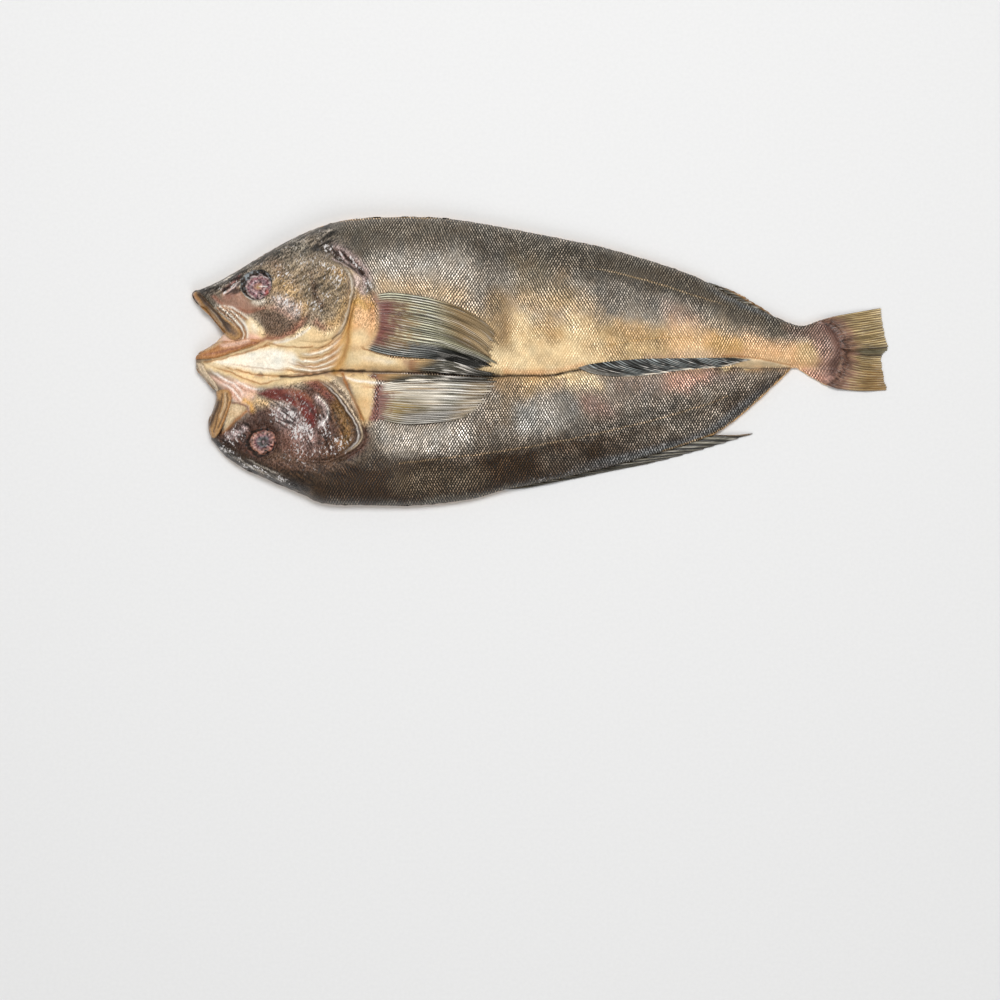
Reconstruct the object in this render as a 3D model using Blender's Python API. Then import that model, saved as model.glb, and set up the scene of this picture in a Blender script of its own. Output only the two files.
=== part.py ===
"""Half-dried atka mackerel, split along its back and opened flat, lying skin side up.

The two sides are still joined along the belly, so the belly seam runs down the middle and the
cut edges of the back are the outer edges. The head points along -X and the tail along +X. The
first side, at +Y, keeps the whole tail; the second side, at -Y, ends against its root.
Places and sizes below are in millimetres, and the mesh is in metres.
"""

import math

import bmesh
import bpy
import numpy as np
from mathutils import Vector
from mathutils.geometry import delaunay_2d_cdt

MM = 0.001

# Thickness of the body above the surface that it lies on.
CREST = (
    (-200, 9.0), (-180, 13.0), (-150, 18.5), (-120, 19.0), (-80, 17.0), (0, 14.5), (80, 11.0), (130, 10.5),
    (176, 3.0),
)
SECOND_SIDE = 0.94  # the second side lies a little flatter
SEAM_HEIGHT = 6.5
EDGE_HEIGHT = 2.2
EDGE_ROUND = 13.0  # how far in from the outline the skin turns down to its edge
SEAM_SLOPE = 32.0  # how far from the seam the flank reaches its full thickness
CRACK_DEPTH = 2.6
CRACK_WIDTH = 2.6

# Corners and smooth runs of the body's outline, seen from above.
BACK_FIRST = (
    (-199.9, 39.2), (-198.0, 40.6), (-195.0, 41.4), (-186.6, 45.0), (-177.2, 50.0), (-159.0, 61.0),
    (-140.5, 71.2), (-116.0, 80.2), (-86.0, 82.7), (-46.3, 81.0), (22.6, 68.2), (57.0, 59.6), (84.6, 50.3),
    (97.5, 44.4),
    (109.9, 36.8), (122.0, 31.2), (133.0, 26.2), (149.0, 20.4), (160.5, 23.6), (170.0, 20.5),
    (175.5, 12.0), (176.5, 3.0), (173.0, -7.0), (166.0, -13.4), (157.4, -10.0), (148.5, -4.4), (144.0, -3.6),
)
BACK_SECOND = (
    (144.0, -3.6), (133.8, -13.3), (122.6, -23.8), (104.9, -38.2), (92.1, -44.3), (76.0, -50.0),
    (38.1, -60.9), (-0.4, -69.7), (-19.1, -73.4), (-43.0, -79.6), (-71.6, -82.6), (-100.1, -82.5),
    (-123.9, -81.6), (-138.2, -75.6), (-163.9, -64.4), (-174.9, -58.6), (-182.2, -52.8), (-188.9, -44.6),
)
SECOND_MOUTH = (
    (-188.9, -44.6), (-190.1, -38.9), (-190.3, -34.4), (-186.3, -22.7), (-186.8, -16.3), (-192.5, -10.5),
    (-196.8, -5.2), (-197.8, 0.0),
)
FIRST_CHIN = ((-197.8, 0.0), (-196.1, 4.7), (-191.5, 7.4), (-186.0, 11.2), (-181.0, 16.6))
FIRST_UPPER_JAW = (
    (-181.0, 16.6), (-187.4, 24.0), (-192.0, 30.0), (-196.3, 32.4), (-199.2, 36.0), (-199.9, 39.2),
)
SEAM = (
    (-198.0, 0.0), (-185.2, -2.0), (-174.9, -5.5), (-166.9, -8.6), (-158.3, -9.5), (-138.2, -7.5),
    (-115.2, -5.7), (-57.8, -7.2), (5.4, -7.8), (28.3, -3.8), (62.8, -3.2), (144.0, -3.6),
)

# Head: eyes, gill covers, jaws and the folds of the throat.
EYES = (("first_eye", -162.6, 42.5), ("second_eye", -160.0, -46.8))
EYE_RADIUS = 6.6
EYE_STAND = 1.8
ORBIT_RADIUS = 8.8
GILL_COVER_STAND = 3.0
GILL_COVER_HINGE = (-146.0, -118.0)  # it leaves the cheek between these X values
FIRST_GILL_COVER = (
    (-140.0, 46.0), (-131.0, 57.0), (-120.1, 58.6), (-111.0, 52.8), (-101.4, 46.5), (-105.1, 42.8),
    (-107.3, 37.0), (-111.3, 22.9), (-114.6, 14.8), (-120.5, 9.7), (-134.7, 6.6), (-150.0, 8.0),
    (-152.0, 18.0), (-150.0, 34.0),
)
SECOND_GILL_COVER = (
    (-150.0, -14.0), (-138.0, -10.6), (-127.8, -10.0), (-119.8, -15.2), (-110.0, -28.4), (-103.1, -41.1),
    (-104.5, -46.5), (-113.5, -53.1), (-128.0, -57.5), (-142.0, -54.0), (-150.0, -34.0),
)
JAW_STAND = 2.2
JAW_HINGE = (-300.0, -250.0)  # bare all along
FIRST_MAXILLA = (
    (-199.4, 37.9), (-197.0, 40.2), (-188.7, 33.6), (-177.2, 22.7), (-171.2, 16.2), (-173.4, 12.4),
    (-180.7, 14.6), (-187.2, 23.8), (-193.0, 30.2),
)
SECOND_MAXILLA = (
    (-186.2, -20.5), (-184.1, -16.8), (-178.4, -17.0), (-176.6, -21.5), (-180.7, -33.6), (-187.0, -44.5),
    (-189.6, -41.1), (-190.1, -35.5), (-187.2, -26.0),
)
FIRST_LOWER_JAW = (
    (-197.9, 1.0), (-196.7, 3.6), (-189.4, 9.0), (-182.6, 15.6), (-170.0, 10.5), (-156.0, 9.5), (-158.0, 7.0),
    (-175.0, 4.5),
)
SECOND_LOWER_JAW = (
    (-197.8, -0.6), (-196.9, -4.6), (-186.6, -16.6), (-182.0, -14.5), (-188.0, -7.0), (-193.0, -1.2),
)
PLATE_ROUND = 2.6
HIDDEN_DEPTH = 0.8  # how far a plate's hinge side lies under the skin
THROAT_FOLDS = (
    ((-112.0, 13.0), (-116.5, 6.5), (-123.4, 2.7), (-133.0, 0.9), (-149.6, 2.0)),
    ((-111.0, 6.0), (-118.5, 0.0), (-128.5, -3.2), (-143.9, -4.2), (-158.0, -3.0)),
)
FOLD_STAND = 1.2
FOLD_WIDTH = 2.4

# Fins: the curve that the rays leave, the curve of their tips, and the number of rays.
FIN_SINK = 2.6
FIN_THICKNESS = 1.5
RAY_STAND = 0.7
FIRST_PECTORAL = (
    ((-96.1, 37.4), (-97.0, 28.0), (-97.5, 18.0), (-100.7, 7.9)),
    ((-33.4, 23.4), (-27.0, 17.5), (-24.6, 12.8), (-25.2, 8.7), (-28.2, 3.4), (-31.1, -0.1)),
    24,
)
SECOND_PECTORAL = (
    ((-93.0, -12.6), (-93.5, -20.0), (-92.6, -27.0), (-91.0, -33.0)),
    ((-24.5, -11.8), (-25.8, -18.4), (-29.8, -24.9), (-46.7, -32.1)),
    22,
)
FIRST_PELVIC = (
    ((-77.0, 0.2), (-77.4, -2.4), (-76.4, -4.8)),
    ((-25.8, -5.6), (-24.6, -8.4), (-33.4, -8.6)),
    6,
)
SECOND_PELVIC = (
    ((-96.7, -7.4), (-97.0, -9.2), (-95.5, -11.4)),
    ((-24.6, -9.4), (-30.0, -11.0), (-42.7, -12.9)),
    6,
)
ANAL = (
    ((23.0, -5.0), (40.0, -7.8), (58.0, -8.4), (83.3, -5.8), (118.0, -4.2)),
    ((32.0, -1.4), (57.7, 1.2), (79.7, 1.9), (103.0, 2.3), (126.7, 2.6)),
    22,
)
FIRST_DORSAL = (
    ((96.0, 44.0), (103.5, 39.6), (109.9, 35.4), (122.0, 30.0), (129.0, 27.0)),
    ((98.5, 45.0), (105.9, 42.5), (113.9, 39.2), (126.4, 31.6), (133.8, 26.2)),
    10,
)
SECOND_DORSAL = (
    ((-24.0, -73.6), (18.0, -64.0), (55.9, -54.4), (92.1, -42.8), (103.0, -43.2)),
    ((-14.0, -73.4), (19.7, -67.2), (60.8, -59.9), (101.9, -48.3), (123.6, -41.0)),
    18,
)
TAIL = (
    ((158.0, 23.6), (164.0, 15.0), (167.0, 5.0), (168.0, -5.0), (166.5, -14.5)),
    ((195.7, 30.8), (197.6, 17.1), (200.0, 6.0), (196.4, -1.4), (199.3, -16.5)),
    24,
)
FREE_FIN_BASE = 0.3
FREE_FIN_THICKNESS = 1.6

# Places of the body's mesh: rings that follow the rounded edge, then a lattice inside them.
OUTLINE_STEP = 4.1
EDGE_RINGS = (1.4, 4.2, 9.5)
FLANK_SPACING = 9.0
HEAD_SPACING = 3.9
HEAD_END = -94.0
MERGE_DISTANCE = 0.01

SKIN_COLOUR = (0.21, 0.17, 0.13, 1.0)


def smooth_path(points, step):
    """Evenly spaced points about one step apart on a smooth curve through the given points."""
    given = np.array(points, float)
    padded = np.vstack((2 * given[0] - given[1], given, 2 * given[-1] - given[-2]))
    fine = []
    for before, start, end, after in zip(padded, padded[1:], padded[2:], padded[3:]):
        t = np.linspace(0, 1, 24, endpoint=False)[:, None]
        fine.append(
            start
            + 0.5 * t * (end - before)
            + t**2 * (before - 2.5 * start + 2 * end - 0.5 * after)
            + t**3 * (1.5 * (start - end) + 0.5 * (after - before))
        )
    fine = np.vstack(fine + [given[-1:]])
    length = np.concatenate(([0], np.cumsum(np.linalg.norm(np.diff(fine, axis=0), axis=1))))
    count = max(2, round(length[-1] / step) + 1)
    places = np.linspace(0, length[-1], count)
    return np.column_stack([np.interp(places, length, fine[:, axis]) for axis in (0, 1)])


def closed_outline(runs, step):
    """One closed outline from smooth runs that meet at corners."""
    return np.vstack([smooth_path(run, step)[:-1] for run in runs])


def smoothstep(low, high, value):
    t = np.clip((value - low) / (high - low), 0, 1)
    return t * t * (3 - 2 * t)


def distance_to(path, x, y):
    """Distance of each place to a polyline."""
    nearest = np.full(np.shape(x), np.inf)
    for (x0, y0), (x1, y1) in zip(path, path[1:]):
        run = max((x1 - x0) ** 2 + (y1 - y0) ** 2, 1e-9)
        t = np.clip(((x - x0) * (x1 - x0) + (y - y0) * (y1 - y0)) / run, 0, 1)
        nearest = np.minimum(nearest, np.hypot(x - x0 - t * (x1 - x0), y - y0 - t * (y1 - y0)))
    return nearest


def inside(outline, x, y):
    """Whether each place lies inside a closed outline."""
    odd = np.zeros(np.shape(x), bool)
    for (x0, y0), (x1, y1) in zip(outline, np.roll(outline, -1, axis=0)):
        if y0 != y1:
            odd ^= ((y0 > y) != (y1 > y)) & (x < x0 + (y - y0) * (x1 - x0) / (y1 - y0))
    return odd


BODY_RUNS = (BACK_FIRST, BACK_SECOND, SECOND_MOUTH, FIRST_CHIN, FIRST_UPPER_JAW)
BODY_OUTLINE = closed_outline(BODY_RUNS, OUTLINE_STEP)
BODY_EDGE = np.vstack((BODY_OUTLINE, BODY_OUTLINE[:1]))
SEAM_PATH = smooth_path(SEAM, 3.0)
FOLD_PATHS = [smooth_path(fold, 3.0) for fold in THROAT_FOLDS]


def body_height(x, y):
    """Height of the skin above the table, with the belly valley, the orbits and the throat's folds."""
    crest = np.interp(x, *np.array(CREST).T)
    offset = y - np.interp(x, *SEAM_PATH.T)
    crest = np.where(offset < 0, SECOND_SIDE * crest, crest)
    reach = SEAM_SLOPE * np.interp(x, (-200, -130, 0, 140), (0.8, 1.0, 1.1, 0.45))
    flank = SEAM_HEIGHT + (crest - SEAM_HEIGHT) * np.sin(np.clip(np.abs(offset) / reach, 0, 1) * math.pi / 2)
    flank -= CRACK_DEPTH * np.exp(-((offset / CRACK_WIDTH) ** 2)) * smoothstep(-125, -110, x)
    rounding = EDGE_ROUND * np.interp(x, (-200, -150, 60, 150), (0.5, 1.0, 1.0, 0.75))
    inward = 1 - np.clip(distance_to(BODY_EDGE, x, y) / rounding, 0, 1)
    height = EDGE_HEIGHT + (flank - EDGE_HEIGHT) * np.sqrt(1 - inward**2)
    for _, eye_x, eye_y in EYES:
        height -= 1.4 * np.exp(-(((np.hypot(x - eye_x, y - eye_y) - ORBIT_RADIUS) / 1.6) ** 2))
    for path in FOLD_PATHS:
        height += FOLD_STAND * np.exp(-((distance_to(path, x, y) / FOLD_WIDTH) ** 2))
    return height


def edge_ring(outline, inset):
    """Places one inset inward from a closed outline, without those that crowd at its corners."""
    run = np.roll(outline, -1, axis=0) - np.roll(outline, 1, axis=0)
    normal = np.column_stack((run[:, 1], -run[:, 0])) / np.linalg.norm(run, axis=1)[:, None]
    x, y = (outline + inset * normal).T
    edge = np.vstack((outline, outline[:1]))
    kept = inside(outline, x, y) & (distance_to(edge, x, y) > 0.93 * inset)
    return np.column_stack((x, y))[kept]


def lattice(outline, spacing, low_x, high_x, margin):
    """Triangular lattice of places inside an outline, a margin from its edge, between two X values."""
    rows = np.arange(outline[:, 1].min(), outline[:, 1].max(), spacing * math.sqrt(3) / 2)
    places = []
    for number, y in enumerate(rows):
        x = np.arange(low_x + spacing * (0.25 + 0.5 * (number % 2)), high_x, spacing)
        places.append(np.column_stack((x, np.full_like(x, y))))
    x, y = np.vstack(places).T
    edge = np.vstack((outline, outline[:1]))
    kept = inside(outline, x, y) & (distance_to(edge, x, y) > margin)
    return np.column_stack((x, y))[kept]


def new_object(name, points, faces, collection):
    """Mesh object from points in millimetres, its faces turned outward."""
    mesh = bpy.data.meshes.new(name)
    mesh.from_pydata([Vector(point) * MM for point in points], [], faces)
    shape = bmesh.new()
    shape.from_mesh(mesh)
    bmesh.ops.recalc_face_normals(shape, faces=shape.faces)
    shape.to_mesh(mesh)
    shape.free()
    obj = bpy.data.objects.new(name, mesh)
    collection.objects.link(obj)
    return obj


def relief_solid(name, outline, places, top, bottom, collection):
    """Solid over an outline, between a lower and an upper height at every place."""
    rim = len(outline)
    flat = [Vector(place) for place in np.vstack((outline, places))]
    ring = [(number, (number + 1) % rim) for number in range(rim)]
    points, _, faces, *_ = delaunay_2d_cdt(flat, ring, [], 1, MERGE_DISTANCE)
    x, y = np.array(points).T
    upper = np.column_stack((x, y, top(x, y)))
    lower = np.column_stack((x, y, bottom(x, y)))
    count = len(points)
    edges = {(a, b) for face in faces for a, b in zip(face, face[1:] + face[:1])}
    sides = [(b, a, a + count, b + count) for a, b in edges if (b, a) not in edges]
    under = [tuple(corner + count for corner in reversed(face)) for face in faces]
    return new_object(name, np.vstack((upper, lower)), [*faces, *under, *sides], collection)


def body(collection):
    """The two sides, the heads and the root of the tail, flat underneath."""
    rings = [edge_ring(BODY_OUTLINE, inset) for inset in EDGE_RINGS]
    rings[-1] = rings[-1][rings[-1][:, 0] > HEAD_END]
    crack = np.vstack([SEAM_PATH + (0, aside) for aside in (-CRACK_WIDTH, 0, CRACK_WIDTH)])
    crack = crack[(distance_to(BODY_EDGE, *crack.T) > EDGE_RINGS[-1]) & (crack[:, 0] > HEAD_END)]
    head = lattice(BODY_OUTLINE, HEAD_SPACING, -200, HEAD_END, EDGE_RINGS[-2] + HEAD_SPACING / 2)
    flank = lattice(BODY_OUTLINE, FLANK_SPACING, HEAD_END, 180, EDGE_RINGS[-1] + FLANK_SPACING / 2)
    flank = flank[distance_to(SEAM_PATH, *flank.T) > CRACK_WIDTH + FLANK_SPACING / 3]
    places = np.vstack((*rings, crack, head, flank))
    relief_solid("body", BODY_OUTLINE, places, body_height, lambda x, y: 0 * x, collection)


def raised_plate(name, outline_points, stand, hinge, spacing, collection):
    """Bony plate that rises out of the head between two X values, with rounded edges."""
    outline = smooth_path(outline_points + outline_points[:1], spacing)[:-1]
    edge = np.vstack((outline, outline[:1]))
    places = lattice(outline, spacing, outline[:, 0].min(), outline[:, 0].max(), 0.45 * spacing)

    def top(x, y):
        inward = 1 - np.clip(distance_to(edge, x, y) / PLATE_ROUND, 0, 1)
        rise = stand * (0.45 + 0.55 * np.sqrt(1 - inward**2)) * smoothstep(*hinge, x)
        return body_height(x, y) + rise - HIDDEN_DEPTH * (1 - smoothstep(hinge[0] - 4, hinge[0] + 6, x))

    def bottom(x, y):
        return np.maximum(body_height(x, y) - FIN_SINK, FREE_FIN_BASE)

    relief_solid(name, outline, places, top, bottom, collection)


def eye(name, x, y, collection):
    """Flattened eyeball that stands a little out of its orbit."""
    shape = bmesh.new()
    bmesh.ops.create_uvsphere(shape, u_segments=18, v_segments=8, radius=EYE_RADIUS * MM)
    mesh = bpy.data.meshes.new(name)
    shape.to_mesh(mesh)
    shape.free()
    obj = bpy.data.objects.new(name, mesh)
    collection.objects.link(obj)
    ground = float(body_height(np.array([x]), np.array([y]))[0])
    obj.location = Vector((x, y, ground + EYE_STAND - 0.5 * EYE_RADIUS)) * MM
    obj.scale = (1, 1, 0.5)


def on_body(x, y):
    return np.maximum(body_height(x, y) - FIN_SINK, FREE_FIN_BASE)


def on_table(x, y):
    return np.full_like(x, FREE_FIN_BASE)


def fin(name, root, tip, rays, floor, thickness, collection, steps=6, bow=0.0, root_share=0.7):
    """Thin sheet with a ridge along each ray, from the root curve to the tips, over a floor height."""
    columns = 2 * rays + 1
    start = smooth_path(root, math.dist(root[0], root[-1]) / 60)
    end = smooth_path(tip, math.dist(tip[0], tip[-1]) / 60)
    share = np.linspace(0, 1, columns)
    start = start[np.round(share * (len(start) - 1)).astype(int)]
    end = end[np.round(share * (len(end) - 1)).astype(int)]
    along = np.linspace(0, 1, steps + 1)
    across = (end - start)[:, ::-1] * (-1, 1)
    grid = start[:, None] + (end - start)[:, None] * along[None, :, None]
    grid += bow * across[:, None] * (along * (1 - along))[None, :, None]
    grid[::2, -1] -= 0.05 * (end - start)[::2]
    x, y = grid[..., 0], grid[..., 1]
    low = floor(x.ravel(), y.ravel()).reshape(x.shape)
    ridge = RAY_STAND * (np.arange(columns) % 2)[:, None] * np.sin(math.pi * np.clip(along * 2, 0, 0.5))
    high = low + thickness * (root_share + (1 - root_share) * smoothstep(0, 0.3, along)) + ridge
    upper = np.stack((x, y, high), axis=-1).reshape(-1, 3)
    lower = np.stack((x, y, low), axis=-1).reshape(-1, 3)
    count, width = len(upper), steps + 1
    faces = []
    for column in range(columns - 1):
        for row in range(steps):
            a = column * width + row
            b, c, d = a + 1, a + width + 1, a + width
            faces += [(a, b, c), (a, c, d)]
            faces += [(c + count, b + count, a + count), (d + count, c + count, a + count)]
    last = (columns - 1) * width
    rim = [*range(width), *range(2 * width - 1, last, width), *range(last + steps, last - 1, -1)]
    rim += list(range(last - width, 0, -width))
    for a, b in zip(rim, rim[1:] + rim[:1]):
        faces += [(a, b, b + count), (a, b + count, a + count)]
    new_object(name, np.vstack((upper, lower)), faces, collection)


def skin_material():
    material = bpy.data.materials.new("dried_skin")
    material.use_nodes = True
    surface = material.node_tree.nodes["Principled BSDF"]
    surface.inputs["Base Color"].default_value = SKIN_COLOUR
    surface.inputs["Roughness"].default_value = 0.45
    surface.inputs["Metallic"].default_value = 0.0
    material.diffuse_color = SKIN_COLOUR
    return material


def fuse(name, pieces, target):
    """One closed solid from all the objects of a collection, which are then removed."""
    obj = bpy.data.objects.new(name, bpy.data.meshes.new(name))
    target.objects.link(obj)
    first, *others = list(pieces.objects)
    bpy.context.view_layer.update()
    obj.data = first.data.copy()
    pieces.objects.unlink(first)
    union = obj.modifiers.new("union", "BOOLEAN")
    union.operation = "UNION"
    union.operand_type = "COLLECTION"
    union.collection = pieces
    union.solver = "MANIFOLD"
    bpy.context.view_layer.update()
    evaluated = obj.evaluated_get(bpy.context.evaluated_depsgraph_get())
    mesh = bpy.data.meshes.new_from_object(evaluated)
    obj.modifiers.remove(union)
    obj.data = mesh
    for piece in [first, *others]:
        bpy.data.objects.remove(piece)
    bpy.data.collections.remove(pieces)
    return obj


def main():
    for obj in list(bpy.data.objects):
        bpy.data.objects.remove(obj)
    mackerel = bpy.data.collections.new("half_dried_mackerel")
    pieces = bpy.data.collections.new("pieces")
    for collection in (mackerel, pieces):
        bpy.context.scene.collection.children.link(collection)

    body(pieces)
    for name, x, y in EYES:
        eye(name, x, y, pieces)
    raised_plate("first_gill_cover", FIRST_GILL_COVER, GILL_COVER_STAND, GILL_COVER_HINGE, 3.6, pieces)
    raised_plate("second_gill_cover", SECOND_GILL_COVER, GILL_COVER_STAND, GILL_COVER_HINGE, 3.6, pieces)
    for name, outline in (
        ("first_maxilla", FIRST_MAXILLA),
        ("second_maxilla", SECOND_MAXILLA),
        ("first_lower_jaw", FIRST_LOWER_JAW),
        ("second_lower_jaw", SECOND_LOWER_JAW),
    ):
        raised_plate(name, outline, JAW_STAND, JAW_HINGE, 2.6, pieces)
    fin("first_pectoral", *FIRST_PECTORAL, on_body, FIN_THICKNESS + FIN_SINK, pieces, bow=0.22)
    fin("second_pectoral", *SECOND_PECTORAL, on_body, FIN_THICKNESS + FIN_SINK, pieces, bow=-0.12)
    fin("first_pelvic", *FIRST_PELVIC, on_body, FIN_THICKNESS + FIN_SINK, pieces)
    fin("second_pelvic", *SECOND_PELVIC, on_body, FIN_THICKNESS + FIN_SINK, pieces)
    fin("anal", *ANAL, on_body, FIN_THICKNESS + FIN_SINK, pieces, steps=3)
    fin("first_dorsal", *FIRST_DORSAL, on_table, FREE_FIN_THICKNESS, pieces, steps=3)
    fin("second_dorsal", *SECOND_DORSAL, on_table, FREE_FIN_THICKNESS, pieces, steps=3)
    fin("tail", *TAIL, on_table, FREE_FIN_THICKNESS, pieces)

    fish = fuse("fish", pieces, mackerel)
    fish.data.materials.clear()
    fish.data.materials.append(skin_material())
    fish.data.shade_smooth()
    fish.data.set_sharp_from_angle(angle=math.radians(50))


main()
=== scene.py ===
"""Looks of the half-dried atka mackerel: scaly skin, flesh, the opened head, fins and tail.

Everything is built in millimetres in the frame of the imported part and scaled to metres. The head
points along -X and the tail along +X. The first side, at +Y, keeps the tail; the second side is
at -Y. Colour is painted on the meshes with soft strokes and patches in named colours, and the
materials add the scales, specks and wet gloss.
"""

import math

import bpy
import numpy as np
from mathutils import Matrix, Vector
from mathutils.geometry import delaunay_2d_cdt


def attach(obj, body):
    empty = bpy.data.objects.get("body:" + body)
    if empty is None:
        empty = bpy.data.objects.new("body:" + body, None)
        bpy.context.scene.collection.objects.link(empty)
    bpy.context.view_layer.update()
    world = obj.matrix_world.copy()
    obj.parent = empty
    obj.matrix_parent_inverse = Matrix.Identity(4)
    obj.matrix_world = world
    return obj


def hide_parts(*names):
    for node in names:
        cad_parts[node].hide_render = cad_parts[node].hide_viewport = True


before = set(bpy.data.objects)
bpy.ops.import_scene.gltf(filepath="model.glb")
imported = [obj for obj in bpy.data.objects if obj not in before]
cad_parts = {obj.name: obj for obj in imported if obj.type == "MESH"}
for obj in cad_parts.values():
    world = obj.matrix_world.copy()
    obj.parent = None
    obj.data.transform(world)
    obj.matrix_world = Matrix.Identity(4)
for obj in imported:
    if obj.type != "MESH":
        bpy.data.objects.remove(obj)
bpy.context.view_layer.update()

MM = 0.001
BODY = "root"
SOLID = "fish"

# ---------------------------------------------------------------- form of the body, as in the part
CREST = (
    (-200, 9), (-180, 13), (-150, 18.5), (-120, 19), (-80, 17), (0, 14.5), (80, 11), (130, 10.5), (176, 3),
)
SECOND_SIDE = 0.94
SEAM_HEIGHT = 6.5
EDGE_HEIGHT = 2.2
EDGE_ROUND = 13.0
SEAM_SLOPE = 32.0
# Shares of the seam's slope and of the edge's rounding at places along the fish.
SLOPE_ALONG = ((-200, 0.8), (-130, 1.0), (0, 1.1), (140, 0.45))
ROUND_ALONG = ((-200, 0.5), (-150, 1.0), (60, 1.0), (150, 0.75))
CRACK_DEPTH = 2.6
CRACK_WIDTH = 2.6
CRACK_START = (-125, -110)
ORBIT_RADIUS = 8.8
ORBIT_DEPTH = 1.4
ORBIT_WIDTH = 1.6
BACK_FIRST = (
    (-199.9, 39.2), (-198, 40.6), (-195, 41.4), (-186.6, 45), (-177.2, 50), (-159, 61), (-140.5, 71.2),
    (-116, 80.2), (-86, 82.7), (-46.3, 81), (22.6, 68.2), (57, 59.6), (84.6, 50.3), (97.5, 44.4),
    (109.9, 36.8), (122, 31.2), (133, 26.2), (149, 20.4), (160.5, 23.6), (170, 20.5), (175.5, 12),
    (176.5, 3), (173, -7), (166, -13.4), (157.4, -10), (148.5, -4.4), (144, -3.6),
)
BACK_SECOND = (
    (144, -3.6), (133.8, -13.3), (122.6, -23.8), (104.9, -38.2), (92.1, -44.3), (76, -50), (38.1, -60.9),
    (-0.4, -69.7), (-19.1, -73.4), (-43, -79.6), (-71.6, -82.6), (-100.1, -82.5), (-123.9, -81.6),
    (-138.2, -75.6), (-163.9, -64.4), (-174.9, -58.6), (-182.2, -52.8), (-188.9, -44.6),
)
SECOND_MOUTH = (
    (-188.9, -44.6), (-190.1, -38.9), (-190.3, -34.4), (-186.3, -22.7), (-186.8, -16.3), (-192.5, -10.5),
    (-196.8, -5.2), (-197.8, 0),
)
FIRST_CHIN = ((-197.8, 0), (-196.1, 4.7), (-191.5, 7.4), (-186, 11.2), (-181, 16.6))
FIRST_UPPER_JAW = ((-181, 16.6), (-187.4, 24), (-192, 30), (-196.3, 32.4), (-199.2, 36), (-199.9, 39.2))
BODY_RUNS = (BACK_FIRST, BACK_SECOND, SECOND_MOUTH, FIRST_CHIN, FIRST_UPPER_JAW)
SEAM = (
    (-197.8, 0), (-185.2, -2), (-174.9, -5.5), (-166.9, -8.6), (-158.3, -9.5), (-138.2, -7.5),
    (-115.2, -5.7), (-57.8, -7.2), (5.4, -7.8), (28.3, -3.8), (62.8, -3.2), (144, -3.6),
)

# ---------------------------------------------------------------- parts of the head
EYES = (("first_eye", -162.6, 43.7), ("second_eye", -159.8, -46.4))
EYE_RADIUS = 7.5
GILL_COVER_STAND = 3.0
GILL_COVER_HINGE = (-146.0, -118.0)
HIDDEN_DEPTH = 0.8
FIRST_GILL_COVER = (
    (-140, 46), (-131, 57), (-123, 58), (-116, 56.8), (-110.4, 53.4), (-106.4, 50.8), (-101.5, 46.2),
    (-102.5, 43.2), (-105.6, 38.7), (-107.6, 33.1), (-109.2, 26.7), (-110.8, 20.2), (-113.6, 14.6),
    (-118.4, 9.7), (-126, 7.4), (-137, 7.4), (-150, 9), (-152, 18), (-150, 34),
)
FIRST_BONE = (
    (-140, 46), (-131, 56), (-123, 57.2), (-116, 55.7), (-110.4, 51.6), (-107.6, 46.8), (-107.2, 41.2),
    (-108.4, 34.7), (-110, 28.3), (-112, 21.8), (-115.2, 16.2), (-120.1, 12.2), (-128, 10.4), (-140, 12),
    (-152, 18), (-150, 34),
)
SECOND_GILL_COVER = (
    (-150, -14), (-138, -11), (-127.6, -8.8), (-120, -12), (-112.8, -19.4), (-107.4, -27), (-103, -34.6),
    (-101.4, -41), (-102.4, -46.2), (-106.6, -50.6), (-114, -55.2), (-124, -58.4), (-138, -55), (-150, -34),
)
SECOND_BONE = (
    (-150, -15), (-138, -12.2), (-128.4, -10.4), (-121.6, -14.8), (-114.8, -21.6), (-110.2, -28.4),
    (-105.8, -35.2), (-103.6, -41.4), (-104.2, -45.2), (-108, -49.4), (-114.6, -53.4), (-124, -56.8),
    (-138, -53), (-150, -34),
)
JAW_STAND = 2.2
FIRST_MAXILLA = (
    (-199.6, 38.4), (-197.4, 40.6), (-194, 38.6), (-187.6, 31), (-180.4, 24.8), (-172.6, 18.6),
    (-171, 14.4), (-174.5, 12), (-179.4, 13.8), (-184.6, 20), (-189.6, 26), (-195.2, 31.4),
)
SECOND_MAXILLA = (
    (-186.4, -17.5), (-182.9, -16.2), (-178.3, -16.4), (-176.6, -19.2), (-177.2, -24.4), (-179.5, -31.3),
    (-182.4, -38.2), (-185.2, -43), (-188.4, -44.2), (-190.3, -39), (-190.1, -33), (-187, -27),
    (-185.9, -22.1),
)
FIRST_LOWER_JAW = (
    (-197.9, 1), (-196.7, 3.8), (-191, 7.8), (-183.6, 11.6), (-176, 11.4), (-168, 12.6), (-160, 12),
    (-164, 8.6), (-175, 5), (-186, 1.6),
)
SECOND_LOWER_JAW = (
    (-197.8, -0.6), (-196.9, -5.4), (-191.9, -11.2), (-187.2, -16.4), (-184.4, -17), (-186.4, -12),
    (-191, -6.2), (-193.6, -1.4),
)
# Where the head's skin ends and the flanks' begins, from the cut edge to the belly seam.
FIRST_NECK = (
    (-119, 79.5), (-119.5, 72), (-114.5, 64), (-107, 57.5), (-102.5, 50), (-102, 42), (-106, 33.9),
    (-109.4, 21.6), (-110, 11.3), (-112.1, 4.2), (-117.8, -5.9),
)
SECOND_NECK = (
    (-123.9, -81.6), (-119, -72), (-115, -62), (-108.9, -55.8), (-102.4, -49.9), (-99.5, -43.6),
    (-101.8, -36), (-104.5, -26), (-108.4, -17.3), (-112, -5.8),
)

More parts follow.
